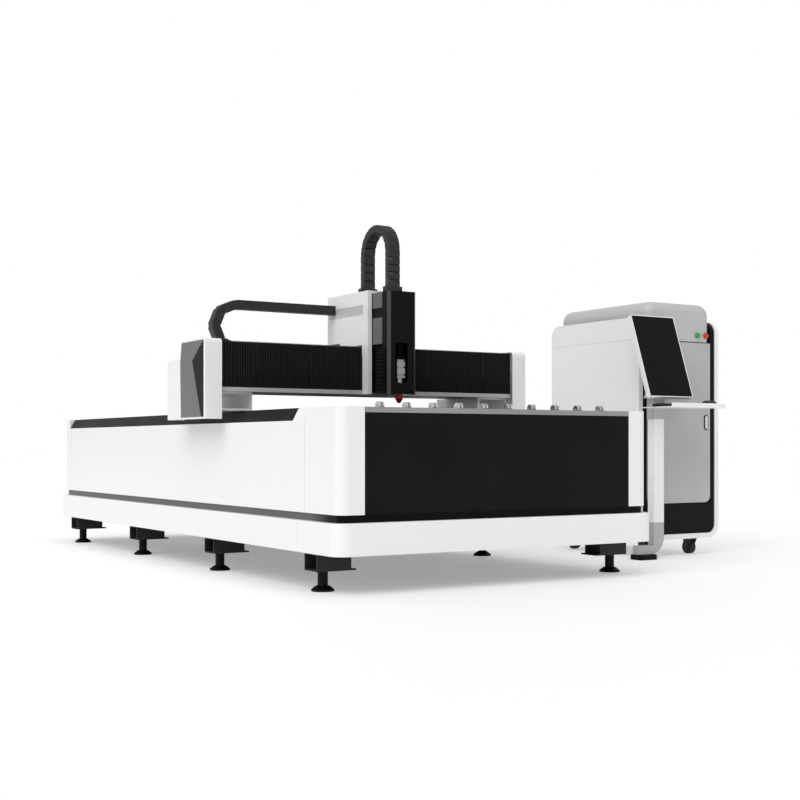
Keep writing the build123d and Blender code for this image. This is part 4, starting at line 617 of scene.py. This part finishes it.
# Monitor screen: dark glass, bonded into the housing's front and switched off. It is almost black with
# faint smears in its shine.
dark_glass = bpy.data.materials.new("dark_glass")
dark_glass.use_nodes = True
tree = dark_glass.node_tree
place = add_node(tree, "ShaderNodeTexCoord", {})
smear = add_node(tree, "ShaderNodeTexNoise", {"Vector": place.outputs["Object"], "Scale": 12.0,
                                              "Detail": 5.0})
gloss = add_node(tree, "ShaderNodeMapRange", {"Value": smear.outputs["Fac"], "To Min": 0.06, "To Max": 0.16})
surface = tree.nodes["Principled BSDF"]
surface.inputs["Base Color"].default_value = linear("08080a")
surface.inputs["IOR"].default_value = 1.52
surface.inputs["Specular IOR Level"].default_value = 0.12
tree.links.new(gloss.outputs["Result"], surface.inputs["Roughness"])
dress(dark_glass, "monitor_screen")

# Castor wheels: black rubber tyres moulded on a nylon hub, scuffed by the floor to a patchy dull dark
# grey.
castor_rubber = bpy.data.materials.new("castor_rubber")
castor_rubber.use_nodes = True
tree = castor_rubber.node_tree
place = add_node(tree, "ShaderNodeTexCoord", {})
scuff = add_node(tree, "ShaderNodeTexNoise", {"Vector": place.outputs["Object"], "Scale": 120.0,
                                              "Detail": 5.0})
shade = add_node(tree, "ShaderNodeValToRGB", {"Fac": scuff.outputs["Fac"]})
shade.color_ramp.elements[0].position = 0.35
shade.color_ramp.elements[0].color = linear("141414")
shade.color_ramp.elements[1].position = 0.8
shade.color_ramp.elements[1].color = linear("333333")
bump = add_node(tree, "ShaderNodeBump", {"Height": scuff.outputs["Fac"], "Strength": 0.2, "Distance": 0.001})
surface = tree.nodes["Principled BSDF"]
surface.inputs["Roughness"].default_value = 0.75
tree.links.new(shade.outputs["Color"], surface.inputs["Base Color"])
tree.links.new(bump.outputs["Normal"], surface.inputs["Normal"])
dress(castor_rubber, "castor_wheel_1", "castor_wheel_2", "castor_wheel_3", "castor_wheel_4")

# Keys: four rows of moulded caps that stand on the keyboard's sloping deck. One cap is repeated along
# the rows and up the slope, and the whole field is one piece, as on a sealed shop keyboard.
board_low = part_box("keyboard_and_mouse")[0]
key_width, key_depth, key_height = 0.0160, 0.0190, 0.0050
key_pitch, row_pitch, key_margin = 0.0190, 0.0285, 0.0110
key_round, row_rise, key_level = 0.0015, 0.00123, 0.0160
keys_in_row, key_rows = 18, 4
bpy.ops.object.select_all(action="DESELECT")
bpy.ops.mesh.primitive_cube_add(size=1)
keys = bpy.context.object
keys.name = "keys"
keys.scale = (key_width, key_depth, key_height)
bpy.ops.object.transform_apply(location=False, rotation=False, scale=True)
bpy.ops.object.mode_set(mode="EDIT")
bpy.ops.mesh.select_all(action="SELECT")
bpy.ops.mesh.bevel(offset=key_round, segments=2, affect="EDGES")
bpy.ops.object.mode_set(mode="OBJECT")
for count, step in ((keys_in_row, (key_pitch, 0.0, 0.0)), (key_rows, (0.0, row_pitch, row_rise))):
    bpy.ops.object.modifier_add(type="ARRAY")
    rows = keys.modifiers[-1]
    rows.count = count
    rows.use_relative_offset = False
    rows.use_constant_offset = True
    rows.constant_offset_displace = step
    bpy.ops.object.modifier_apply(modifier=rows.name)
first_key = (board_low.x + key_margin + key_width / 2, board_low.y + key_margin + key_depth / 2,
             board_low.z + key_level)
bpy.ops.transform.translate(value=first_key)
bpy.ops.object.transform_apply(location=True, rotation=False, scale=False)
keys.data.materials.append(moulded_nylon)
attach(keys, "machine")

# Studio: one broad soft sun over the operator's shoulder, an even pale sky, and a level camera at
# standing distance from the front left corner.
sun_turn, sun_strength, sun_spread = (0.75, 0.1, -1.15), 1.35, 0.9
sky_light, sky_seen = 0.64, 1.0
bpy.ops.object.light_add(type="SUN", rotation=sun_turn)
sun = bpy.context.object
sun.data.energy = sun_strength
sun.data.angle = sun_spread
sky = bpy.data.worlds.new("sky")
bpy.context.scene.world = sky
sky.use_nodes = True
tree = sky.node_tree
seen = add_node(tree, "ShaderNodeLightPath", {})
direct = add_node(tree, "ShaderNodeMath", {0: seen.outputs["Is Camera Ray"],
                                           1: seen.outputs["Is Transmission Ray"]}, operation="MAXIMUM")
tone = add_node(tree, "ShaderNodeMapRange", {"Value": direct.outputs[0], "To Min": sky_light,
                                             "To Max": sky_seen})
tree.links.new(tone.outputs["Result"], tree.nodes["Background"].inputs["Strength"])
tree.nodes["Background"].inputs["Color"].default_value = linear("ffffff")
bpy.context.scene.view_settings.view_transform = "Standard"

eye, level_turn = (-4.733, -7.777, 0.75), (1.5707963, 0.0, -0.5534)
bpy.ops.object.camera_add(location=eye, rotation=level_turn)
camera = bpy.context.object
camera.data.sensor_width = 36
camera.data.lens = 57.78
camera.data.shift_y = 0.05625
camera.data.clip_end = 300
bpy.context.scene.camera = camera
